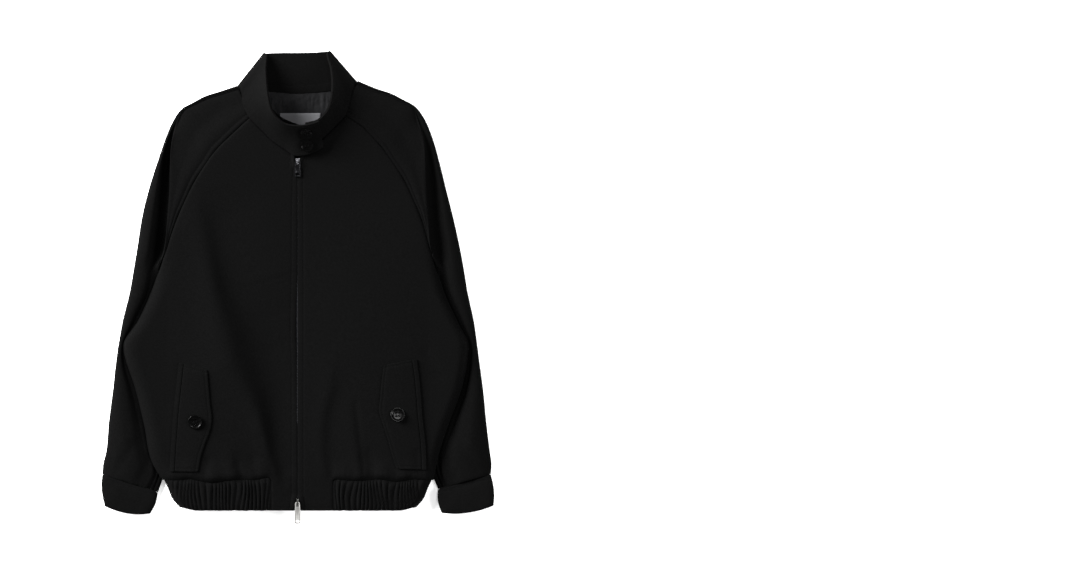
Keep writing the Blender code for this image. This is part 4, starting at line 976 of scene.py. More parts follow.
def collar_rows():
    """The band's outer face from its base row to its top row."""
    strip = collar_strip()
    lengths = [max(math.dist(a[:3], b[:3]), math.dist(a[3:], b[3:])) for a, b in zip(strip, strip[1:])]
    places = cuts(lengths, COLLAR_PITCH)
    places = places[:1] + [0.15 * places[1], 0.5 * places[1]] + places[1:]
    fine = [through(strip, at) for at in places]
    walked = [0.0]
    for a, b in zip(fine, fine[1:]):
        walked.append(walked[-1] + 0.5 * (math.dist(a[:3], b[:3]) + math.dist(a[3:], b[3:])))
    columns = []
    for points, along in zip(fine, walked):
        height = math.dist(points[:3], points[3:])
        column = []
        for distance in collar_marks(height):
            to_end, to_base = rounded_corner(along, distance, 9.0)
            to_end, from_top = rounded_corner(to_end, height - to_base, 5.0)
            share = (height - from_top) / height
            moved = through(fine, shifted_place(walked, to_end)) if to_end < along else points
            sag = COLLAR_SAG * math.sin(math.pi * share)
            column.append((mix(moved[0], moved[3], share), mix(moved[1], moved[4], share),
                           mix(moved[2], moved[5], share - sag)))
        columns.append(column)
    return above_floor(zip(*columns))


def shifted_place(walked, distance):
    """Fractional index of a distance along the strip."""
    for index, (low, high) in enumerate(zip(walked, walked[1:])):
        if distance <= high:
            return index + (distance - low) / (high - low)
    return len(walked) - 1.0


# ---------------------------------------------------------------- materials
BAND_PERIOD = 0.314         # width of one band of a Wave texture at scale 1


def linear(code):
    """sRGB hex to the linear colour that a shader takes."""
    values = [int(code[start:start + 2], 16) / 255.0 for start in (0, 2, 4)]
    return tuple(v / 12.92 if v <= 0.04045 else ((v + 0.055) / 1.055) ** 2.4 for v in values) + (1.0,)


def start_material(name, **sockets):
    """A material with its shader's own sockets set; gives the material, its tree and shader."""
    made = bpy.data.materials.new(name)
    made.use_nodes = True
    shader = made.node_tree.nodes["Principled BSDF"]
    for key, value in sockets.items():
        shader.inputs[key.replace("_", " ")].default_value = value
    return made, made.node_tree, shader


def add(tree, kind, inputs=(), **settings):
    """A node with its settings; inputs are values or the sockets that feed them."""
    made = tree.nodes.new(kind)
    for key, value in settings.items():
        setattr(made, key, value)
    for key, value in dict(inputs).items():
        if isinstance(value, bpy.types.NodeSocket):
            tree.links.new(value, made.inputs[key])
        else:
            made.inputs[key].default_value = value
    return made


def paint(tree, shader, value, dark, light, low=0.3, high=0.7):
    """Base colour that goes from one sRGB colour to another along a value."""
    made = add(tree, "ShaderNodeValToRGB", {"Fac": value})
    for element, position, code in zip(made.color_ramp.elements, (low, high), (dark, light)):
        element.position = position
        element.color = linear(code)
    tree.links.new(made.outputs["Color"], shader.inputs["Base Color"])


def polish(tree, shader, value, low, high):
    """Roughness that changes along a value."""
    made = add(tree, "ShaderNodeMapRange", {"Value": value, "To Min": low, "To Max": high})
    tree.links.new(made.outputs["Result"], shader.inputs["Roughness"])


def emboss(tree, shader, height, strength, distance):
    """Fine relief of a texture."""
    made = add(tree, "ShaderNodeBump", {"Strength": strength, "Distance": distance, "Height": height})
    tree.links.new(made.outputs["Normal"], shader.inputs["Normal"])


def weave_map(tree):
    """Metres along and across the cloth."""
    return add(tree, "ShaderNodeUVMap", uv_map="weave").outputs["UV"]


def body_map(tree):
    """Metres in the part's frame."""
    return add(tree, "ShaderNodeTexCoord").outputs["Object"]


def noise_at(tree, vector, scale, detail, **more):
    """Value of a noise texture; more settings are given with their sockets' names."""
    inputs = {"Vector": vector, "Scale": scale, "Detail": detail}
    inputs.update({key.replace("_", " "): value for key, value in more.items()})
    return add(tree, "ShaderNodeTexNoise", inputs).outputs["Fac"]


def bands_at(tree, vector, pitch, distortion, more=(), **settings):
    """Value of even bands at a pitch in metres."""
    inputs = {"Vector": vector, "Scale": BAND_PERIOD / pitch, "Distortion": distortion, **dict(more)}
    return add(tree, "ShaderNodeTexWave", inputs, **settings).outputs["Fac"]


def weighed_sum(tree, value, weight, more):
    """The value times its weight plus another value."""
    return add(tree, "ShaderNodeMath", {0: value, 1: weight, 2: more}, operation="MULTIPLY_ADD").outputs[0]


def wool_twill():
    """Black wool twill, fulled and brushed: a matt cloth whose fuzz catches light at its edges.

    The wale is 1.3 mm apart on the real cloth; it is drawn at 1.6 mm so that it shows.
    """
    made, tree, shader = start_material(
        "black_wool_twill", Roughness=0.9, Specular_IOR_Level=0.012, Sheen_Weight=0.01,
        Sheen_Roughness=0.3, Sheen_Tint=linear("c8c8cc"))
    body = body_map(tree)
    turned = add(tree, "ShaderNodeMapping", {"Vector": weave_map(tree),
                                             "Rotation": (0.0, 0.0, math.radians(27.0))})
    wale = bands_at(tree, turned.outputs["Vector"], 0.0016, 1.2, {"Detail": 2.0, "Detail Scale": 1.6})
    nap = noise_at(tree, body, 1100.0, 3.0, Roughness=0.6)
    pile = noise_at(tree, body, 420.0, 2.0)
    paint(tree, shader, pile, "040404", "060606")
    emboss(tree, shader, weighed_sum(tree, pile, 0.5, weighed_sum(tree, wale, 0.35, nap)), 0.4, 0.0003)
    return made


def satin_lining():
    """Dark grey viscose satin: smooth warp floats give a soft shine, weft lines 0.8 mm apart."""
    made, tree, shader = start_material("viscose_satin_lining", Roughness=0.58, Specular_IOR_Level=0.05)
    weave = weave_map(tree)
    paint(tree, shader, noise_at(tree, weave, 60.0, 3.0), "0d0d0e", "121213")
    floats = bands_at(tree, weave, 0.0008, 0.6, {"Detail": 1.0}, bands_direction="Y")
    emboss(tree, shader, floats, 0.2, 0.0001)
    return made


def woven_label():
    """Grey damask label, left bare: a fine rib of 0.7 mm with dense, slightly shiny threads."""
    made, tree, shader = start_material("damask_label", Roughness=0.6, Specular_IOR_Level=0.3)
    ribs = bands_at(tree, weave_map(tree), 0.0007, 0.4, bands_direction="Y")
    paint(tree, shader, ribs, "444446", "505053", 0.0, 1.0)
    emboss(tree, shader, ribs, 0.3, 0.0001)
    return made


def zip_tape():
    """Black polyester zip tape: a herringbone of 1 mm ribs, flatter and cleaner than the wool."""
    made, tree, shader = start_material("polyester_zip_tape", Roughness=0.75, Specular_IOR_Level=0.2)
    ribs = bands_at(tree, weave_map(tree), 0.001, 0.5, wave_profile="TRI")
    paint(tree, shader, ribs, "070708", "0d0d0e", 0.0, 1.0)
    emboss(tree, shader, ribs, 0.4, 0.0002)
    return made


def sewing_thread():
    """Black polyester sewing thread, laid tight: a little glossier than the wool around it."""
    made, tree, shader = start_material("polyester_thread", Roughness=0.7, Specular_IOR_Level=0.02)
    paint(tree, shader, noise_at(tree, body_map(tree), 2400.0, 1.0), "050505", "090909")
    return made


def polyester_button():
    """Cast polyester button in black horn look: polished, with faint brown-grey streaks."""
    made, tree, shader = start_material("cast_polyester_button", Roughness=0.2, Specular_IOR_Level=0.1)
    body = body_map(tree)
    drawn = add(tree, "ShaderNodeMapping", {"Vector": body, "Scale": (60.0, 420.0, 200.0)})
    streak = noise_at(tree, drawn.outputs["Vector"], 1.0, 4.0, Distortion=0.8)
    paint(tree, shader, streak, "000000", "030303", 0.35, 0.75)
    polish(tree, shader, noise_at(tree, body, 500.0, 3.0), 0.12, 0.24)
    return made


def plated(name, dark, light, low, high):
    """Plated zinc, tumbled before plating: soft mirror with fine random scuffs of 0.5 mm."""
    made, tree, shader = start_material(name, Metallic=1.0)
    body = body_map(tree)
    haze = noise_at(tree, body, 240.0, 2.0)
    paint(tree, shader, haze, dark, light)
    polish(tree, shader, haze, low, high)
    emboss(tree, shader, noise_at(tree, body, 2000.0, 3.0), 0.12, 0.0001)
    return made


wool = wool_twill()
satin = satin_lining()
woven = woven_label()
tape = zip_tape()
thread = sewing_thread()
horn = polyester_button()
gunmetal = plated("gunmetal_plated_zinc", "242426", "323234", 0.2, 0.32)
# A lighter copy of the gunmetal for the top slider: painted highlight, for the slider is the same gunmetal
# as its pull.
highlight_painted_gunmetal = plated("highlight_painted_gunmetal_plated_zinc", "66666a", "7c7c80", 0.2, 0.32)
# A lighter copy of the gunmetal for the zip's teeth: painted glint, for the teeth are the same gunmetal as
# slider and pull.
glint_painted_teeth_metal = plated("glint_painted_gunmetal_teeth", "444448", "56565a", 0.24, 0.36)
nickel = plated("nickel_plated_zinc", "d2d1ce", "e2e1dd", 0.3, 0.37)
# A darker copy of the nickel for the bottom slider: painted shade of the dark jacket around it, for the
# slider is the same nickel as its pull.
shade_painted_nickel = plated("shade_painted_nickel_plated_zinc", "62625f", "7a7a77", 0.16, 0.3)


# ---------------------------------------------------------------- making cloth
def deselect():
    """Nothing selected."""
    for other in list(bpy.context.selected_objects):
        other.select_set(False)


def focus(piece):
    """The piece alone selected and active, as before any hand tool."""
    deselect()
    piece.select_set(True)
    bpy.context.view_layer.objects.active = piece
    return piece


def apply_tool(piece, kind, **settings):
    """A modifier with its settings, applied at once."""
    focus(piece)
    tool = piece.modifiers.new("tool", kind)
    for key, value in settings.items():
        setattr(tool, key, value)
    bpy.ops.object.modifier_apply(modifier=tool.name)


def soften(piece, width, angle=35.0, segments=2):
    """Rounds the edges that are sharper than the angle."""
    apply_tool(piece, "BEVEL", width=width * MM, segments=segments, limit_method="ANGLE",
               angle_limit=math.radians(angle))


def from_mesh_code(name, made, look):
    """An object of a finished bmesh."""
    mesh = bpy.data.meshes.new(name)
    made.to_mesh(mesh)
    made.free()
    mesh.materials.append(look)
    piece = bpy.data.objects.new(name, mesh)
    bpy.context.scene.collection.objects.link(piece)
    return piece


def stand_for(piece, body, nodes=()):
    """Parents the piece to the body that it moves with and hides the nodes that it replaces."""
    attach(piece, body)
    if nodes:
        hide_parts(*nodes)
    return piece


def outward(made, face_up):
    """Whether the faces look up or down as asked (None: away from their common middle)."""
    if face_up is not None:
        return (sum(face.normal.z * face.calc_area() for face in made.faces) > 0.0) == face_up
    centre = sum((vert.co for vert in made.verts), Vector()) / len(made.verts)
    return sum((face.calc_center_median() - centre).dot(face.normal) * face.calc_area()
               for face in made.faces) > 0.0


def cloth(name, rows, face_up, nodes=(), wall=WALL, look=wool, slot="wool", closed=False, edge=0.7):
    """A wall of cloth whose outer face is the grid of points (face_up None: it bends round).

    A place with no point is left open.
    """
    made = bmesh.new()
    weave = made.loops.layers.uv.new("weave")
    grid = [[made.verts.new(place(*point)) if point else None for point in row] for row in rows]
    across, down = [0.0], [0.0]
    middle_row, middle_col = rows[len(rows) // 2], 4
    for a, b in zip(middle_row, middle_row[1:]):
        across.append(across[-1] + math.dist(a, b) * MM)
    across.append(across[-1] + math.dist(middle_row[-1], middle_row[0]) * MM)
    for low, high in zip(rows, rows[1:]):
        down.append(down[-1] + math.dist(low[middle_col], high[middle_col]) * MM)
    columns = len(rows[0])
    for r in range(len(rows) - 1):
        for c in range(columns if closed else columns - 1):
            nxt = (c + 1) % columns
            corners = (grid[r][c], grid[r][nxt], grid[r + 1][nxt], grid[r + 1][c])
            if None in corners:
                continue
            face = made.faces.new(corners)
            for loop, (row, col) in zip(face.loops, ((r, c), (r, c + 1), (r + 1, c + 1), (r + 1, c))):
                loop[weave].uv = (across[col], down[row])
    bmesh.ops.remove_doubles(made, verts=made.verts, dist=0.02 * MM)
    made.normal_update()
    if not outward(made, face_up):
        bmesh.ops.reverse_faces(made, faces=made.faces)
    piece = from_mesh_code(name, made, look)
    apply_tool(piece, "SOLIDIFY", thickness=wall * MM, offset=-1.0, use_even_offset=False)
    soften(piece, edge, 62.0)
    bpy.ops.object.shade_smooth()
    return stand_for(piece, "jacket", nodes)


def surface_of(name):
    """The faces of a finished piece, to lay things on."""
    data = bpy.data.objects[name].data
    return BVHTree.FromPolygons([vert.co.copy() for vert in data.vertices],
                                [list(face.vertices) for face in data.polygons])


ABOVE_ALL, BELOW_ALL = 90.0, -20.0      # rises clear of the jacket


def on_top(tree, out, up, under=False):
    """Highest point and direction of a surface at a garment place (under: the lowest one)."""
    origin = place(out, up, BELOW_ALL if under else ABOVE_ALL)
    hit, normal, _, _ = tree.ray_cast(origin, Vector((0.0, 0.0, 1.0 if under else -1.0)))
    return (hit, normal) if hit else (None, None)


# ---------------------------------------------------------------- lines of stitches
STITCH_PITCH = 3.4
STITCH_LENGTH = 2.6
THREAD = 0.5
THREAD_LIFT = 0.05          # how far the thread's middle lies above the cloth


def stitch_model():
    """One stitch of thread: a slim rounded bead that lies along X."""
    deselect()
    bpy.ops.mesh.primitive_uv_sphere_add(segments=6, ring_count=5, radius=0.5 * THREAD * MM)
    bead = bpy.context.object
    bpy.ops.object.mode_set(mode="EDIT")
    bpy.ops.mesh.select_all(action="SELECT")
    bpy.ops.transform.resize(value=(STITCH_LENGTH / THREAD, 1.0, 0.8))
    bpy.ops.object.mode_set(mode="OBJECT")
    model = bead.data.copy()
    bpy.data.objects.remove(bead, do_unlink=True)
    return model


def walk(points, pitch):
    """Places and directions at an even pitch along a line of points."""
    spots, left = [], 0.5 * pitch
    for first, second in zip(points, points[1:]):
        run = second - first
        length = run.length
        if length < 1e-9:
            continue
        while left <= length:
            spots.append((first + run * (left / length), run / length))
            left += pitch
        left -= length
    return spots


def stitches(name, lines):
    """Stitches along lines of (point, normal), lying on the cloth."""
    made = bmesh.new()
    for line in lines:
        for spot, along in walk([point for point, _ in line], STITCH_PITCH * MM):
            _, normal = min(line, key=lambda pair: (pair[0] - spot).length_squared)
            side = normal.cross(along)
            if side.length < 1e-6:
                continue
            side.normalize()
            lift = along.cross(side)
            turn = Matrix((along, side, lift)).transposed().to_4x4()
            turn.translation = spot + lift * THREAD_LIFT * MM
            start = len(made.verts)
            made.from_mesh(STITCH)
            made.verts.ensure_lookup_table()
            bmesh.ops.transform(made, matrix=turn, verts=made.verts[start:])
    piece = from_mesh_code(name, made, thread)
    focus(piece)
    bpy.ops.object.shade_smooth()
    return stand_for(piece, "jacket")


def laid_line(name, places, side=1, under=False):
    """Points and normals of a piece along garment places (out, up), from above or below."""
    tree = surface_of(name)
    found = [on_top(tree, side * out, up, under) for out, up in places]
    return [(hit, normal) for hit, normal in found if hit is not None]


STITCH = stitch_model()


# ---------------------------------------------------------------- tools for hard pieces
def edit(piece, mode):
    """Edit mode with nothing selected in the given select mode."""
    focus(piece)
    bpy.ops.object.mode_set(mode="EDIT")
    bpy.ops.mesh.select_mode(type=mode)
    bpy.ops.mesh.select_all(action="DESELECT")
    bpy.ops.object.mode_set(mode="OBJECT")
    return piece.data


def pick(piece, mode, test):
    """Selects the faces, edges or vertices that pass the test and goes to edit mode."""
    data = edit(piece, mode)
    group = {"FACE": data.polygons, "EDGE": data.edges, "VERT": data.vertices}[mode]
    for item in group:
        item.select = bool(test(item))
    bpy.ops.object.mode_set(mode="EDIT")


def done():
    """Back to object mode."""
    bpy.ops.object.mode_set(mode="OBJECT")


def top_face(height):
    """Test for faces that look up at the given height."""
    return lambda face: face.normal.z > 0.9 and abs(face.center.z - height) < 1e-6


def edge_ends(piece, edge):
    """The places of an edge's two ends."""
    return [piece.data.vertices[index].co for index in edge.vertices]


def upright(piece, least):
    """Test for edges that run up over more than a length in metres."""
    def test(edge):
        first, last = edge_ends(piece, edge)
        return abs(first.z - last.z) > least
    return test


def press(piece, test, *steps):
    """Insets the faces that pass the test and moves them, step by step, in millimetres."""
    pick(piece, "FACE", test)
    for thickness, move in steps:
        bpy.ops.mesh.inset(thickness=thickness * MM)
        if any(move):
            bpy.ops.transform.translate(value=[value * MM for value in move])
    done()


def narrow(piece, mode, test, factors):
    """Scales the picked part about its middle."""
    pick(piece, mode, test)
    bpy.ops.transform.resize(value=factors)
    done()


def round_edges(piece, test, radius, segments):
    """Rounds the edges that pass the test."""
    pick(piece, "EDGE", test)
    bpy.ops.mesh.bevel(offset=radius * MM, segments=segments, affect="EDGES")
    done()


def carve(piece, cutter, operation="DIFFERENCE"):
    """Cuts or joins the second piece and drops it."""
    apply_tool(piece, "BOOLEAN", operation=operation, object=cutter, solver="EXACT")
    bpy.data.objects.remove(cutter, do_unlink=True)


def smooth(piece, angle=38.0):
    """Smooth shading, but for edges that are sharper than the angle."""
    focus(piece)
    bpy.ops.object.shade_smooth_by_angle(angle=math.radians(angle))


def move_mesh(piece, matrix):
    """Places the mesh itself, so that the object stays at the origin, unturned."""
    piece.data.transform(matrix)
    piece.data.update()


def settle(piece, name, look, body, slot, *nodes):
    """Applies what is left, names the piece, gives it its look, parents it and hides the nodes that it
    replaces.
    """
    focus(piece)
    bpy.ops.object.transform_apply(location=True, rotation=True, scale=True)
    piece.name = piece.data.name = name
    piece.data.materials.clear()
    piece.data.materials.append(look)
    return stand_for(piece, body, nodes)


def primitive_at(operator, centre, scale=(1.0, 1.0, 1.0), **settings):
    """A primitive in millimetres with its place, turn and scale in its mesh."""
    deselect()
    operator(location=[value * MM for value in centre], **settings)
    made = bpy.context.object
    made.scale = scale
    bpy.ops.object.transform_apply(location=True, rotation=True, scale=True)
    return made


def box_at(low, high):
    """A box between two corners."""
    return primitive_at(bpy.ops.mesh.primitive_cube_add, [0.5 * (a + b) for a, b in zip(low, high)],
                        [(b - a) * MM for a, b in zip(low, high)], size=1.0)


def rod_at(centre, radius, depth, vertices):
    """A round upright bar."""
    return primitive_at(bpy.ops.mesh.primitive_cylinder_add, centre, vertices=vertices,
                        radius=radius * MM, depth=depth * MM)


# ---------------------------------------------------------------- buttons
BUTTON_HEIGHT = 2.8
BUTTON_THREAD = 0.55
HOLE_REACH = 0.15           # of the diameter, from the middle to each of the four holes


def button_model(diameter):
    """A four-hole button: rolled rim, dished middle, domed back; drilled and polished."""
    radius, half = 0.5 * diameter, 0.5 * BUTTON_HEIGHT
    made = rod_at((0.0, 0.0, 0.0), radius, BUTTON_HEIGHT, 64)
    dish = ((0.07, 0.0), (0.12, -0.12), (0.1, -0.24), (0.16, -0.05))
    press(made, top_face(half * MM),
          *((inset * radius, (0.0, 0.0, drop * BUTTON_HEIGHT)) for inset, drop in dish))
    press(made, lambda face: face.normal.z < -0.9, (0.22 * radius, (0.0, 0.0, 0.0)))
    for vert in edit(made, "VERT").vertices:
        if vert.co.z < -0.9 * half * MM and vert.co.xy.length > 0.9 * radius * MM:
            vert.co.z += 0.3 * BUTTON_HEIGHT * MM
    reach = HOLE_REACH * diameter
    for index in range(4):
        angle = math.radians(45.0 + 90.0 * index)
        carve(made, rod_at((reach * math.cos(angle), reach * math.sin(angle), 0.0), 0.05 * diameter,
                           3.0 * BUTTON_HEIGHT, 20))
    soften(made, 0.28, 28.0, 3)
    smooth(made, 50.0)
    return made


def button_thread_model(diameter):
    """Thread through the holes: two doubled strands side by side, and the shank below."""
    reach = HOLE_REACH * diameter * 0.7071
    strands = [primitive_at(bpy.ops.mesh.primitive_uv_sphere_add,
                            (side * reach + offset, 0.0, 0.12 * BUTTON_HEIGHT + 0.1),
                            (1.0, (2.0 * reach + 1.2) / BUTTON_THREAD, 1.0),
                            segments=10, ring_count=8, radius=0.5 * BUTTON_THREAD * MM)
               for side in (-1.0, 1.0) for offset in (-0.35, 0.35)]
    shank = rod_at((0.0, 0.0, -0.5 * BUTTON_HEIGHT - 0.3), 1.5, 2.4, 16)
    narrow(shank, "FACE", lambda face: face.normal.z > 0.9, (1.3, 1.3, 1.0))
    deselect()
    for piece in strands + [shank]:
        piece.select_set(True)
    bpy.context.view_layer.objects.active = strands[0]
    bpy.ops.object.join()
    smooth(strands[0], 60.0)
    return strands[0]


def set_button(node, diameter, tilt, lean, turn):
    """A button and its thread at the place of its CAD node."""
    low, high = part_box(node)
    spot = Matrix.Translation(0.5 * (Vector(low) + Vector(high)))
    for angle, axis in ((tilt, "X"), (lean, "Y"), (turn, "Z")):
        spot = spot @ Matrix.Rotation(math.radians(angle), 4, axis)
    piece = button_model(diameter)
    move_mesh(piece, spot)
    settle(piece, node + "_turned", horn, "jacket", "horn", node)
    strands = button_thread_model(diameter)
    move_mesh(strands, spot)
    settle(strands, node + "_thread", thread, "jacket", "wool")


# ---------------------------------------------------------------- zip
SLIDER_WIDTH, SLIDER_LENGTH, SLIDER_PLATE = 8.6, 12.0, 1.5
SLIDER_THROAT = BAND_WALL + 1.1 + 1.2 + 1.4     # between the slider's plates
SLIDER_SUNK = 1.6           # how far the plate lies below the fronts' top
SLIDER_TAPER = 0.78         # width of its narrow end
BAIL_LENGTH, BAIL_WIDTH, BAIL_STOCK, BAIL_HOLE = 9.0, 2.4, 1.6, 2.3
PULL_WALL, PULL_BAR = 1.2, 1.6
PULL_TILT = 3.0
PULL_WINDOW = (2.1, 6.8)    # half width of the window for the bail, and where it ends
TIP_HOLE = (2.4, 6.4)       # from the pull's tip
RECESS_DEPTH, RECESS_RIM, RECESS_TOP = 0.28, 1.3, 8.4
TOP_PULL, BOTTOM_PULL = (25.0, 8.6, 11.4), (35.0, 7.4, 11.0)    # length, width at head and foot
TAPE_DEPTH = 3.7            # top of the tapes below the fronts' top
TAPE_COLUMNS = (0.0, 0.5, 1.0, 1.6, 2.4, 4.0, 6.0, 8.0, 10.0, 11.0)
TAPE_INNER, TAPE_SHOWN = 0.9, 2.6   # from the zip's middle, and how far a parted front bares it
TOOTH_PITCH = 2.6
FIRST_TOOTH = 22.0


def slider_plate(low_z, wall, wide_end):
    """One plate of the slider: a tapered shield with rounded corners."""
    half, reach = 0.5 * SLIDER_WIDTH, 0.5 * SLIDER_LENGTH
    made = box_at((-half, -reach, low_z), (half, reach, low_z + wall))
    narrow(made, "VERT", lambda vert: vert.co.y * wide_end < 0.0, (SLIDER_TAPER, 1.0, 1.0))
    round_edges(made, upright(made, 0.5 * wall * MM), 1.6, 4)
    return made


def slider_model(wide_end):
    """Slider at the origin, its top plate resting on z 0: plates, web and bail."""
    made = slider_plate(-SLIDER_SUNK, SLIDER_PLATE, wide_end)
    press(made, top_face((SLIDER_PLATE - SLIDER_SUNK) * MM), (0.9, (0.0, 0.0, 0.22)))
    carve(made, slider_plate(-SLIDER_THROAT - SLIDER_PLATE, SLIDER_PLATE, wide_end), "UNION")
    carve(made, box_at((-0.5, -2.0, -SLIDER_THROAT - 0.3),
                       (0.5, 0.4 * SLIDER_LENGTH, 0.3 - SLIDER_SUNK)), "UNION")
    half, reach = 0.5 * BAIL_WIDTH, 0.5 * BAIL_LENGTH
    arch = box_at((-half, -reach, SLIDER_PLATE - SLIDER_SUNK - 0.2),
                  (half, reach, SLIDER_PLATE + BAIL_HOLE + BAIL_STOCK))

    def upper_ends(edge):
        first, last = edge_ends(arch, edge)
        return min(first.z, last.z) > SLIDER_PLATE * MM + 0.002 and abs(first.x - last.x) > 1e-4

    round_edges(arch, upper_ends, 1.5, 5)
    carve(arch, box_at((-BAIL_WIDTH, BAIL_STOCK - reach, SLIDER_PLATE - SLIDER_SUNK - 1.0),
                       (BAIL_WIDTH, reach - BAIL_STOCK, SLIDER_PLATE + BAIL_HOLE)))
    soften(arch, 0.15 * BAIL_STOCK, 30.0)
    carve(made, arch, "UNION")
    soften(made, 0.18, 40.0)
    smooth(made)
    return made


def pull_model(length, head, foot):
    """Pull at the origin: crossbar on the X axis, plate hanging to -Y with a raised rim."""
    half = 0.5 * PULL_WALL
    made = box_at((-0.5 * head, -length, -half), (0.5 * head, 0.5 * PULL_BAR, half))
    narrow(made, "VERT", lambda vert: vert.co.y < -0.5 * length * MM, (foot / head, 1.0, 1.0))
    round_edges(made, upright(made, half * MM), 2.0, 6)
    window, window_end = PULL_WINDOW
    carve(made, box_at((-window, -window_end, -3.0), (window, -0.5 * PULL_BAR, 3.0)))
    first, last = TIP_HOLE
    hole = box_at((2.6 - 0.5 * foot, first - length, -3.0), (0.5 * foot - 2.6, last - length, 3.0))

    def inner_corners(edge):
        return upright(hole, 1e-3)(edge) and edge_ends(hole, edge)[0].y > (3.0 - length) * MM

    round_edges(hole, inner_corners, 1.8, 6)
    carve(made, hole)
    for side in (-1.0, 1.0):
        carve(made, box_at(
            (-0.5 * head + RECESS_RIM, -length + last + 1.6, side * half - RECESS_DEPTH),
            (0.5 * head - RECESS_RIM, -RECESS_TOP, side * half + RECESS_DEPTH)))
    soften(made, 0.2, 35.0)
    smooth(made)
    return made


def set_zip_end(slider_node, pull_node, size, looks, slot, body, wide_end):
    """Slider and pull at the places of their CAD nodes."""
    low, high = (Vector(corner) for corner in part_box(slider_node))
    base = low.z + (SLIDER_THROAT + SLIDER_PLATE) * MM
    spot = Vector((0.5 * (low.x + high.x), 0.5 * (low.y + high.y), base))
    slider = slider_model(wide_end)
    move_mesh(slider, Matrix.Translation(spot))
    settle(slider, slider_node + "_cast", looks[0], "jacket", slot, slider_node)
    pivot = spot + Vector((0.0, 0.0, (SLIDER_PLATE + 0.5 * BAIL_HOLE) * MM))
    pull = pull_model(*size)
    move_mesh(pull, Matrix.Translation(pivot) @ Matrix.Rotation(math.radians(PULL_TILT), 4, "X"))
    settle(pull, pull_node + "_cast", looks[1], body, slot, pull_node)


def tape_rows(side):
    """Upper face of a zip tape with its cord, just below the front's edge."""
    rows = []
    for index in range(116):
        up = mix(3.0, ZIP_TOP - 3.0, index / 115.0)
        inner = max(TAPE_INNER, zip_half_gap(up) - TAPE_SHOWN) if up > ZIP_MOUTH else TAPE_INNER
        row = []
        for step in TAPE_COLUMNS:
            cord = 0.35 * math.exp(-((step - 0.8) / 0.6) ** 2)
            row.append((side * (inner + step), up,
                        front_plateau(side, inner + step, up) - TAPE_DEPTH + cord))
        rows.append(row)
    return rows


def tooth_model():
    """One tooth of a metal zip that grips its tape at x 1 and reaches to x -1.2."""
    made = box_at((-1.2, -0.62, -1.05), (2.6, 0.62, 1.05))
    narrow(made, "VERT", lambda vert: vert.co.x < 0.0, (1.0, 1.25, 0.8))
    press(made, lambda face: face.normal.x < -0.9, (0.25, (0.28, 0.0, 0.0)))
    smooth(made, 30.0)
    model = made.data.copy()
    bpy.data.objects.remove(made, do_unlink=True)
    return model


def teeth(side, word):
    """The row of teeth of one tape, meshed with the other side's by half a pitch."""
    made = bmesh.new()
    up = FIRST_TOOTH + (0.5 * TOOTH_PITCH if side > 0 else 0.0)
    while up < ZIP_TOP - 4.0:
        if abs(up - TOP_SLIDER_UP) >= 6.5:
            gap = max(0.0, zip_half_gap(up) - TAPE_SHOWN - TAPE_INNER) if up > ZIP_MOUTH else 0.0
            spot = place(side * (gap + 0.2), up, front_plateau(side, 1.0, up) - TAPE_DEPTH + 0.4)
            turn = Matrix.Translation(spot) @ Matrix.Diagonal((side, 1.0, 1.0, 1.0))
            first_vert, first_face = len(made.verts), len(made.faces)
            made.from_mesh(TOOTH)
            made.verts.ensure_lookup_table()
            made.faces.ensure_lookup_table()
            bmesh.ops.transform(made, matrix=turn, verts=made.verts[first_vert:])
            if side < 0:
                bmesh.ops.reverse_faces(made, faces=made.faces[first_face:])
        up += TOOTH_PITCH
    # The teeth take the lighter copy of the gunmetal: painted glint.
    return stand_for(from_mesh_code("zip_teeth_" + word, made, glint_painted_teeth_metal), "jacket")


# ---------------------------------------------------------------- cloth pieces
TOOTH = tooth_model()
PANELS = [
    # piece, rows, whether they look up, nodes that it replaces, what differs from the plain cloth
    ("front_cloth_", front_rows, True, ("front_", "hem_plain_"), {}),
    ("back_cloth_", back_rows, False, ("back_",), {}),
    ("sleeve_front_cloth_", sleeve_front_rows, True, ("sleeve_front_",), {}),
    ("sleeve_back_cloth_", sleeve_back_rows, False, ("sleeve_back_",), {}),
    ("sleeve_under_cloth_", under_sleeve_rows, None, ("sleeve_under_",), {}),
    ("cuff_band_", cuff_rows, None, ("cuff_",), {"wall": BAND_WALL, "closed": True, "edge": 1.2}),
    ("cuff_tab_cloth_", cuff_tab_rows, False, ("cuff_tab_",), {}),
    ("hem_gathered_band_", gathered_front_rows, True, ("hem_gathered_",), {"wall": BAND_WALL, "edge": 0.9}),
    ("zip_tape_weave_", tape_rows, True, ("zip_tape_",),
     {"wall": 1.2, "look": tape, "slot": "tape", "edge": 0.3}),
]
for side, word in SIDES:
    for name, rows, face_up, nodes, settings in PANELS:
        cloth(name + word, rows(side), face_up, [node + word for node in nodes], **settings)
    teeth(side, word)

cloth("hem_gathered_band_back", gathered_back_rows(), False, ["hem_gathered_back"], BAND_WALL, edge=0.9)
collar_points = collar_rows()
cloth("collar_band", collar_points, None, ["collar"], COLLAR_WALL, edge=1.2)


# ---------------------------------------------------------------- pockets
FLAP_STITCH = 5.0           # from the flap's edge
FLAP_MARKS = (0.0, 0.7, 2.0, 3.9, 5.0, 6.1, 8.0)    # distances from its edges that have a row
FLAP_LINES, FLAP_COLUMNS = 60, 14   # stretches between those marks, along and across
FLAP_CORNER = 4.0
WELT_MARKS = (0.0, 0.6, 1.6, 3.0, 4.4, 6.0, 7.2, WELT_WIDTH)
WELT_STITCH = 6.0


def walk_index(lengths, distance):
    """Fractional index of a distance along stretches of the given lengths."""
    for index, length in enumerate(lengths):
        if distance <= length or index == len(lengths) - 1:
            return index + min(distance / length, 1.0)
        distance -= length


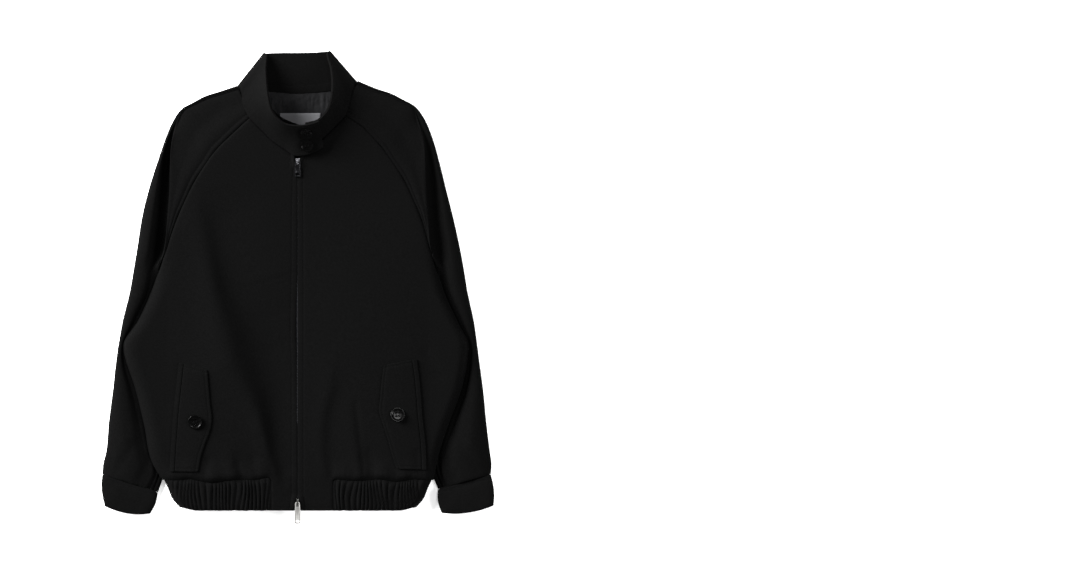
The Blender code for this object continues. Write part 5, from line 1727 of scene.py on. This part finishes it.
def flap_places(side):
    """Garment places of a flap's grid, its free corners rounded, with distances from its edges."""
    stations = [row[:4] if side < 0 else row[4:] for row in POCKET_FLAP]
    lengths = steps_between([station[:2] for station in stations])
    total, last = sum(lengths), FLAP_MARKS[-1]
    along = sorted(set(list(FLAP_MARKS) + [total - mark for mark in FLAP_MARKS]
                       + [mix(last, total - last, step / FLAP_LINES) for step in range(1, FLAP_LINES)]))
    rows = []
    for distance in along:
        row = []
        places = through(stations, walk_index(lengths, distance))
        width = math.dist(places[:2], places[2:])
        for mark in FLAP_MARKS + tuple(mix(last, width, (step + 1) / FLAP_COLUMNS)
                                       for step in range(FLAP_COLUMNS)):
            turned_end, turned_mark = rounded_corner(min(distance, total - distance), mark, FLAP_CORNER)
            at = turned_end if distance < 0.5 * total else total - turned_end
            moved = through(stations, walk_index(lengths, at))
            out, up = blend_points(moved[:2], moved[2:], turned_mark / width)
            row.append((out, up, turned_mark, turned_end, width))
        rows.append(row)
    return rows


def above_front(tree, side, out, up):
    """Rise of a piece's outer face where it lies loosely on the front."""
    hit, _ = on_top(tree, side * out, up)
    return hit.z / MM + FLAP_LIFT + WALL


def lay_pocket(side, word):
    """Welt and flap laid on the finished front; gives the flap's grid."""
    tree = surface_of("front_cloth_" + word)
    grid = flap_places(side)
    rows, welt = [], []
    for line in grid:
        row = []
        for out, up, mark, end, width in line:
            rise = above_front(tree, side, out, up) + 0.5 * math.sin(math.pi * mark / width)
            rise -= groove(mark - FLAP_STITCH, 0.5, 1.0) + groove(end - FLAP_STITCH, 0.5, 1.0)
            rise -= 0.5 * math.exp(-min(mark, end) / 1.6)
            row.append((side * out, up, rise))
        rows.append(row)
        sewn_out, up = line[-1][:2]
        row = []
        for step in WELT_MARKS:
            out = sewn_out + SEAM_GAP + step
            rise = above_front(tree, side, out, up) - 0.5 * math.exp(-min(step, WELT_WIDTH - step) / 0.8)
            row.append((side * out, up, rise - groove(step - WELT_STITCH, 0.35, 0.8)))
        welt.append(row)
    cloth("pocket_flap_cloth_" + word, rows, True, ["pocket_flap_" + word])
    cloth("pocket_welt_cloth_" + word, welt, True, ["pocket_welt_" + word])
    return grid


flap_grids = {side: lay_pocket(side, word) for side, word in SIDES}


# ---------------------------------------------------------------- lining and label
LINING_LOW, LINING_HIGH = 560.0, 687.0
LINING_HALF = [(560.0, 74.0), (600.0, 80.0), (645.0, 84.0), (670.0, 82.0), (687.0, 76.0)]
LINING_TOP = [(0.0, 0.0), (36.0, 2.0), (76.0, 7.0)]     # how far its top rises to the sides
LINING_COLUMNS, LINING_LINES = 90, 75
LABEL_LEFT, LABEL_RIGHT, LABEL_LOW, LABEL_HIGH = -30.0, 37.0, 620.0, 655.0
BINDING_MARKS = (0.0, 0.6, 1.6, 3.0, 5.0, 7.4, 9.8, 11.4, 12.4, 13.0)
LOOP_LINE = [(-44.0, 660.0, 5.0), (-36.0, 652.0, 8.0), (-24.0, 643.5, 10.5), (-9.0, 637.0, 11.0),
             (8.0, 631.5, 10.5), (24.0, 629.0, 9.5), (40.0, 633.0, 7.5), (50.0, 641.0, 5.2)]
LOOP_MARKS = (-2.6, -2.2, -1.4, 0.0, 1.4, 2.2, 2.6)


def lining_rows():
    """Neck lining: it fills the neck opening and puckers where it is sewn to the collar."""
    rows = []
    for step in range(LINING_LINES + 1):
        level = mix(LINING_LOW, LINING_HIGH, step / LINING_LINES)
        half = table_value(LINING_HALF, level)
        row = []
        for part in range(LINING_COLUMNS + 1):
            out = mix(-half, half, part / LINING_COLUMNS)
            up = level + ease((level - 640.0) / 47.0) * (0.6 + table_value(LINING_TOP, abs(out)))
            pucker = ease((up - 640.0) / 30.0) * (1.0 - 0.6 * ease((up - 678.0) / 8.0))
            waves = unevenness(out, up * 0.22, 5.5, 21.0) + 0.6 * unevenness(out, up * 0.4, 2.8, 25.0)
            soft = 0.5 * unevenness(out, up, 22.0, 31.0)
            row.append((out, up, 3.9 + 1.0 * pucker * waves + soft))
        rows.append(row)
    return rows


def label_rows():
    """Woven label, its ends turned under and its upper edge a little bowed."""
    tree = surface_of("lining_satin_neck")
    middle, half = 0.5 * (LABEL_LEFT + LABEL_RIGHT), 0.5 * (LABEL_RIGHT - LABEL_LEFT)
    rows = []
    for step in range(30):
        row = []
        for part in range(61):
            out = mix(LABEL_LEFT, LABEL_RIGHT, part / 60.0)
            up = mix(LABEL_LOW, LABEL_HIGH, step / 29.0)
            hit, _ = on_top(tree, out, up)
            fall = 0.5 * math.exp(-min(half - abs(out - middle), LABEL_HIGH - up) / 0.7)
            row.append((out, up, max(4.2, hit.z / MM) + 1.5 + 0.25 * unevenness(out, up, 14.0, 41.0) - fall))
        rows.append(row)
    return rows


def binding_rows():
    """Tape over the seam of lining and collar: it follows the collar's base on its inside."""
    base = [point[:2] for point in COLLAR_BACK]
    width = BINDING_MARKS[-1]
    rows = []
    for step in BINDING_MARKS:
        row = []
        for part in range(97):
            out, up = through(base, 0.1 + (len(base) - 1.2) * part / 96.0)
            edge = 0.5 * math.exp(-min(step, width - step) / 0.6) + groove(step - 11.0, 0.35, 0.7)
            row.append((out * (1.0 - 0.006 * step), up + 0.4 + step,
                        COLLAR_WALL + 1.5 - edge + 0.25 * unevenness(out, up, 16.0, 51.0)))
        rows.append(row)
    return rows


def loop_rows():
    """Hanger loop of the same tape, sewn in beside the label and hanging slack."""
    rows = []
    for at in cuts(steps_between(LOOP_LINE), 1.2):
        out, up, rise = through(LOOP_LINE, at)
        ahead = through(LOOP_LINE, min(at + 0.05, len(LOOP_LINE) - 1.0))
        behind = through(LOOP_LINE, max(at - 0.05, 0.0))
        run = math.hypot(ahead[0] - behind[0], ahead[1] - behind[1])
        aside = ((behind[1] - ahead[1]) / run, (ahead[0] - behind[0]) / run)
        rows.append([(out + aside[0] * step, up + aside[1] * step, rise - 0.1 * step * step)
                     for step in LOOP_MARKS])
    return rows


cloth("lining_satin_neck", lining_rows(), True, ["lining_neck"], 0.8, satin, "lining", edge=0.2)
cloth("neck_tape_wool", binding_rows(), True, wall=1.2, edge=0.3)
cloth("hanger_loop_wool", loop_rows(), True, wall=1.4, edge=0.3)
cloth("label_woven", label_rows(), True, ["label"], 0.7, woven, "label", edge=0.2)

# ---------------------------------------------------------------- buttons and zip ends
BUTTONS = (
    # node, diameter, then tilt, lean and turn in degrees
    ("button_collar_low", 21.0, 20.0, 0.0, 12.0),
    ("button_collar_high", 21.0, 36.0, 0.0, -20.0),
    ("button_pocket_left", 23.0, 4.0, -7.0, 30.0),
    ("button_pocket_right", 23.0, -10.5, 4.5, 4.0),
    ("button_cuff_left", 19.0, 180.0, 0.0, 15.0),
    ("button_cuff_right", 19.0, 180.0, 0.0, -10.0),
)
for button in BUTTONS:
    set_button(*button)
# The top slider takes the lighter copy of the gunmetal: painted highlight.
set_zip_end("slider_top", "pull_top", TOP_PULL, (highlight_painted_gunmetal, gunmetal), "gunmetal", "top_pull", 1.0)
# The bottom slider takes the darker copy of the nickel: painted shade.
set_zip_end("slider_bottom", "pull_bottom", BOTTOM_PULL, (shade_painted_nickel, nickel), "nickel",
            "bottom_pull", -1.0)

# ---------------------------------------------------------------- stitches
HEM_LINE_UP = HEM_DEPTH - SEAM_GAP - HEM_STITCH
RAGLAN_STATIONS = 11        # sleeve stations from the neck to the raglan seam's hidden end
LINE_PITCH = 5.0
FRONT_LEVELS, CENTRE_LEVELS = range(52, 584, 6), range(54, 690, 6)
BACK_STITCH = 6.0           # beside the centre-back seam, on one side of it


def raglan_line(side):
    """Places of the stitches on a front sleeve, beside its raglan seam."""
    line = []
    for inner, fold, _, _ in sleeve_stations(side)[:RAGLAN_STATIONS]:
        reach = math.dist(inner, fold)
        if reach > 10.0:
            line.append(blend_points(inner, fold, RAGLAN_STITCH / reach))
    return evenly(line, LINE_PITCH)


def collar_line(row):
    """Stitches along one row of the collar's points, on whichever face looks outwards there."""
    line = []
    for point in collar_points[row][3:-2]:
        hit, normal, _, _ = collar_tree.find_nearest(place(*point))
        line.append((hit, normal))
    return line


def back_raglan_line():
    """Places of the stitches on a back sleeve, beside its seam with the back."""
    seam = SLEEVE_BACK_SEAM[:RAGLAN_STATIONS]
    line = []
    for before, point, after in zip(seam[:1] + seam, seam, seam[1:] + seam[-1:]):
        reach = math.dist(before, after)
        line.append((point[0] + RAGLAN_STITCH * (before[1] - after[1]) / reach,
                     point[1] + RAGLAN_STITCH * (after[0] - before[0]) / reach))
    return evenly(line, LINE_PITCH)


for side, word in SIDES:
    zip_line = [(zip_half_gap(up, side) + ZIP_STITCH, up) for up in FRONT_LEVELS]
    stitches("stitches_front_" + word, [laid_line("front_cloth_" + word, zip_line, side)])
    stitches("stitches_raglan_" + word,
             [laid_line("sleeve_front_cloth_" + word, raglan_line(side), side)])
    grid = flap_grids[side]
    free = [row[4][:2] for row in grid[4:-4]]
    head, foot = ([point[:2] for point in grid[index][4:]] for index in (4, -5))
    stitches("stitches_flap_" + word,
             [laid_line("pocket_flap_cloth_" + word, line, side) for line in (free, head, foot)])
    hem_line = [(HEM_PLAIN_WIDTH[side] + 2.0 + 1.5 * step, HEM_LINE_UP) for step in range(96)]
    stitches("stitches_hem_" + word, [laid_line("hem_gathered_band_" + word, hem_line, side)])
    cuff_line = [cuff_point(side, CUFF_STITCH / CUFF_DEPTH, 0.03 + 0.94 * step / 60.0)
                 for step in range(61)]
    stitches("stitches_cuff_" + word, [laid_line("cuff_band_" + word, cuff_line, side)])

collar_tree = surface_of("collar_band")
stitches("stitches_collar", [collar_line(row) for row in COLLAR_STITCH_ROWS])
centre_line = [(BACK_STITCH, up) for up in CENTRE_LEVELS]
stitches("stitches_back_centre", [laid_line("back_cloth_right", centre_line, under=True)])
hem_line = [(3.0 * step, HEM_LINE_UP) for step in range(-76, 77)]
stitches("stitches_hem_back", [laid_line("hem_gathered_band_back", hem_line, under=True)])
for side, word in SIDES:
    stitches("stitches_back_raglan_" + word,
             [laid_line("sleeve_back_cloth_" + word, back_raglan_line(), side, under=True)])

# ---------------------------------------------------------------- floor, light and camera
SCENE_MIDDLE = (0.399, 0.0006)
CAMERA_HEIGHT = 9.9
LENS = 200.0
FLOOR_SIZE, FLOOR_DROP = 9.0, 0.0002
WORLD_STRENGTH = 0.24

deselect()
bpy.ops.mesh.primitive_plane_add(size=FLOOR_SIZE, location=(*SCENE_MIDDLE, -FLOOR_DROP))
floor = bpy.context.object
floor.name = "studio_floor"
paper, tree, shader = start_material("white_background_paper", Roughness=0.9, Specular_IOR_Level=0.1,
                                     Emission_Color=linear("ffffff"), Emission_Strength=0.4)
paint(tree, shader, noise_at(tree, body_map(tree), 3.0, 2.0), "f3f3f3", "f7f7f7")
floor.data.materials.append(paper)


def softbox(name, location, target, size, power):
    """A square area light that looks at a point."""
    data = bpy.data.lights.new(name, "AREA")
    data.shape = "RECTANGLE"
    data.size, data.size_y = size
    data.energy = power
    lamp = bpy.data.objects.new(name, data)
    lamp.location = location
    lamp.rotation_euler = (Vector(target) - Vector(location)).to_track_quat("-Z", "Y").to_euler()
    bpy.context.scene.collection.objects.link(lamp)


SOFTBOXES = (
    # name, place, what it looks at, width and height in metres, watts
    ("key_softbox", (-7.4, 3.9, 3.5), (0.0, 0.0, 0.0), (5.4, 5.4), 6200.0),
    ("fill_softbox", (3.5, -0.6, 2.4), (0.2, 0.0, 0.0), (2.6, 1.8), 250.0),
    ("top_softbox", (0.9, 2.0, 4.2), (0.0, 0.1, 0.0), (1.4, 1.1), 80.0),
)
for lamp in SOFTBOXES:
    softbox(*lamp)

world = bpy.data.worlds.new("studio")
world.use_nodes = True
sky = world.node_tree.nodes["Background"].inputs
sky["Color"].default_value = linear("ffffff")
sky["Strength"].default_value = WORLD_STRENGTH
bpy.context.scene.world = world
bpy.context.scene.view_settings.view_transform = "Standard"

lens = bpy.data.cameras.new("camera")
lens.lens = LENS
lens.sensor_width = 36.0
lens.clip_end = 50.0
camera = bpy.data.objects.new("camera", lens)
camera.location = (*SCENE_MIDDLE, CAMERA_HEIGHT)
bpy.context.scene.collection.objects.link(camera)
bpy.context.scene.camera = camera
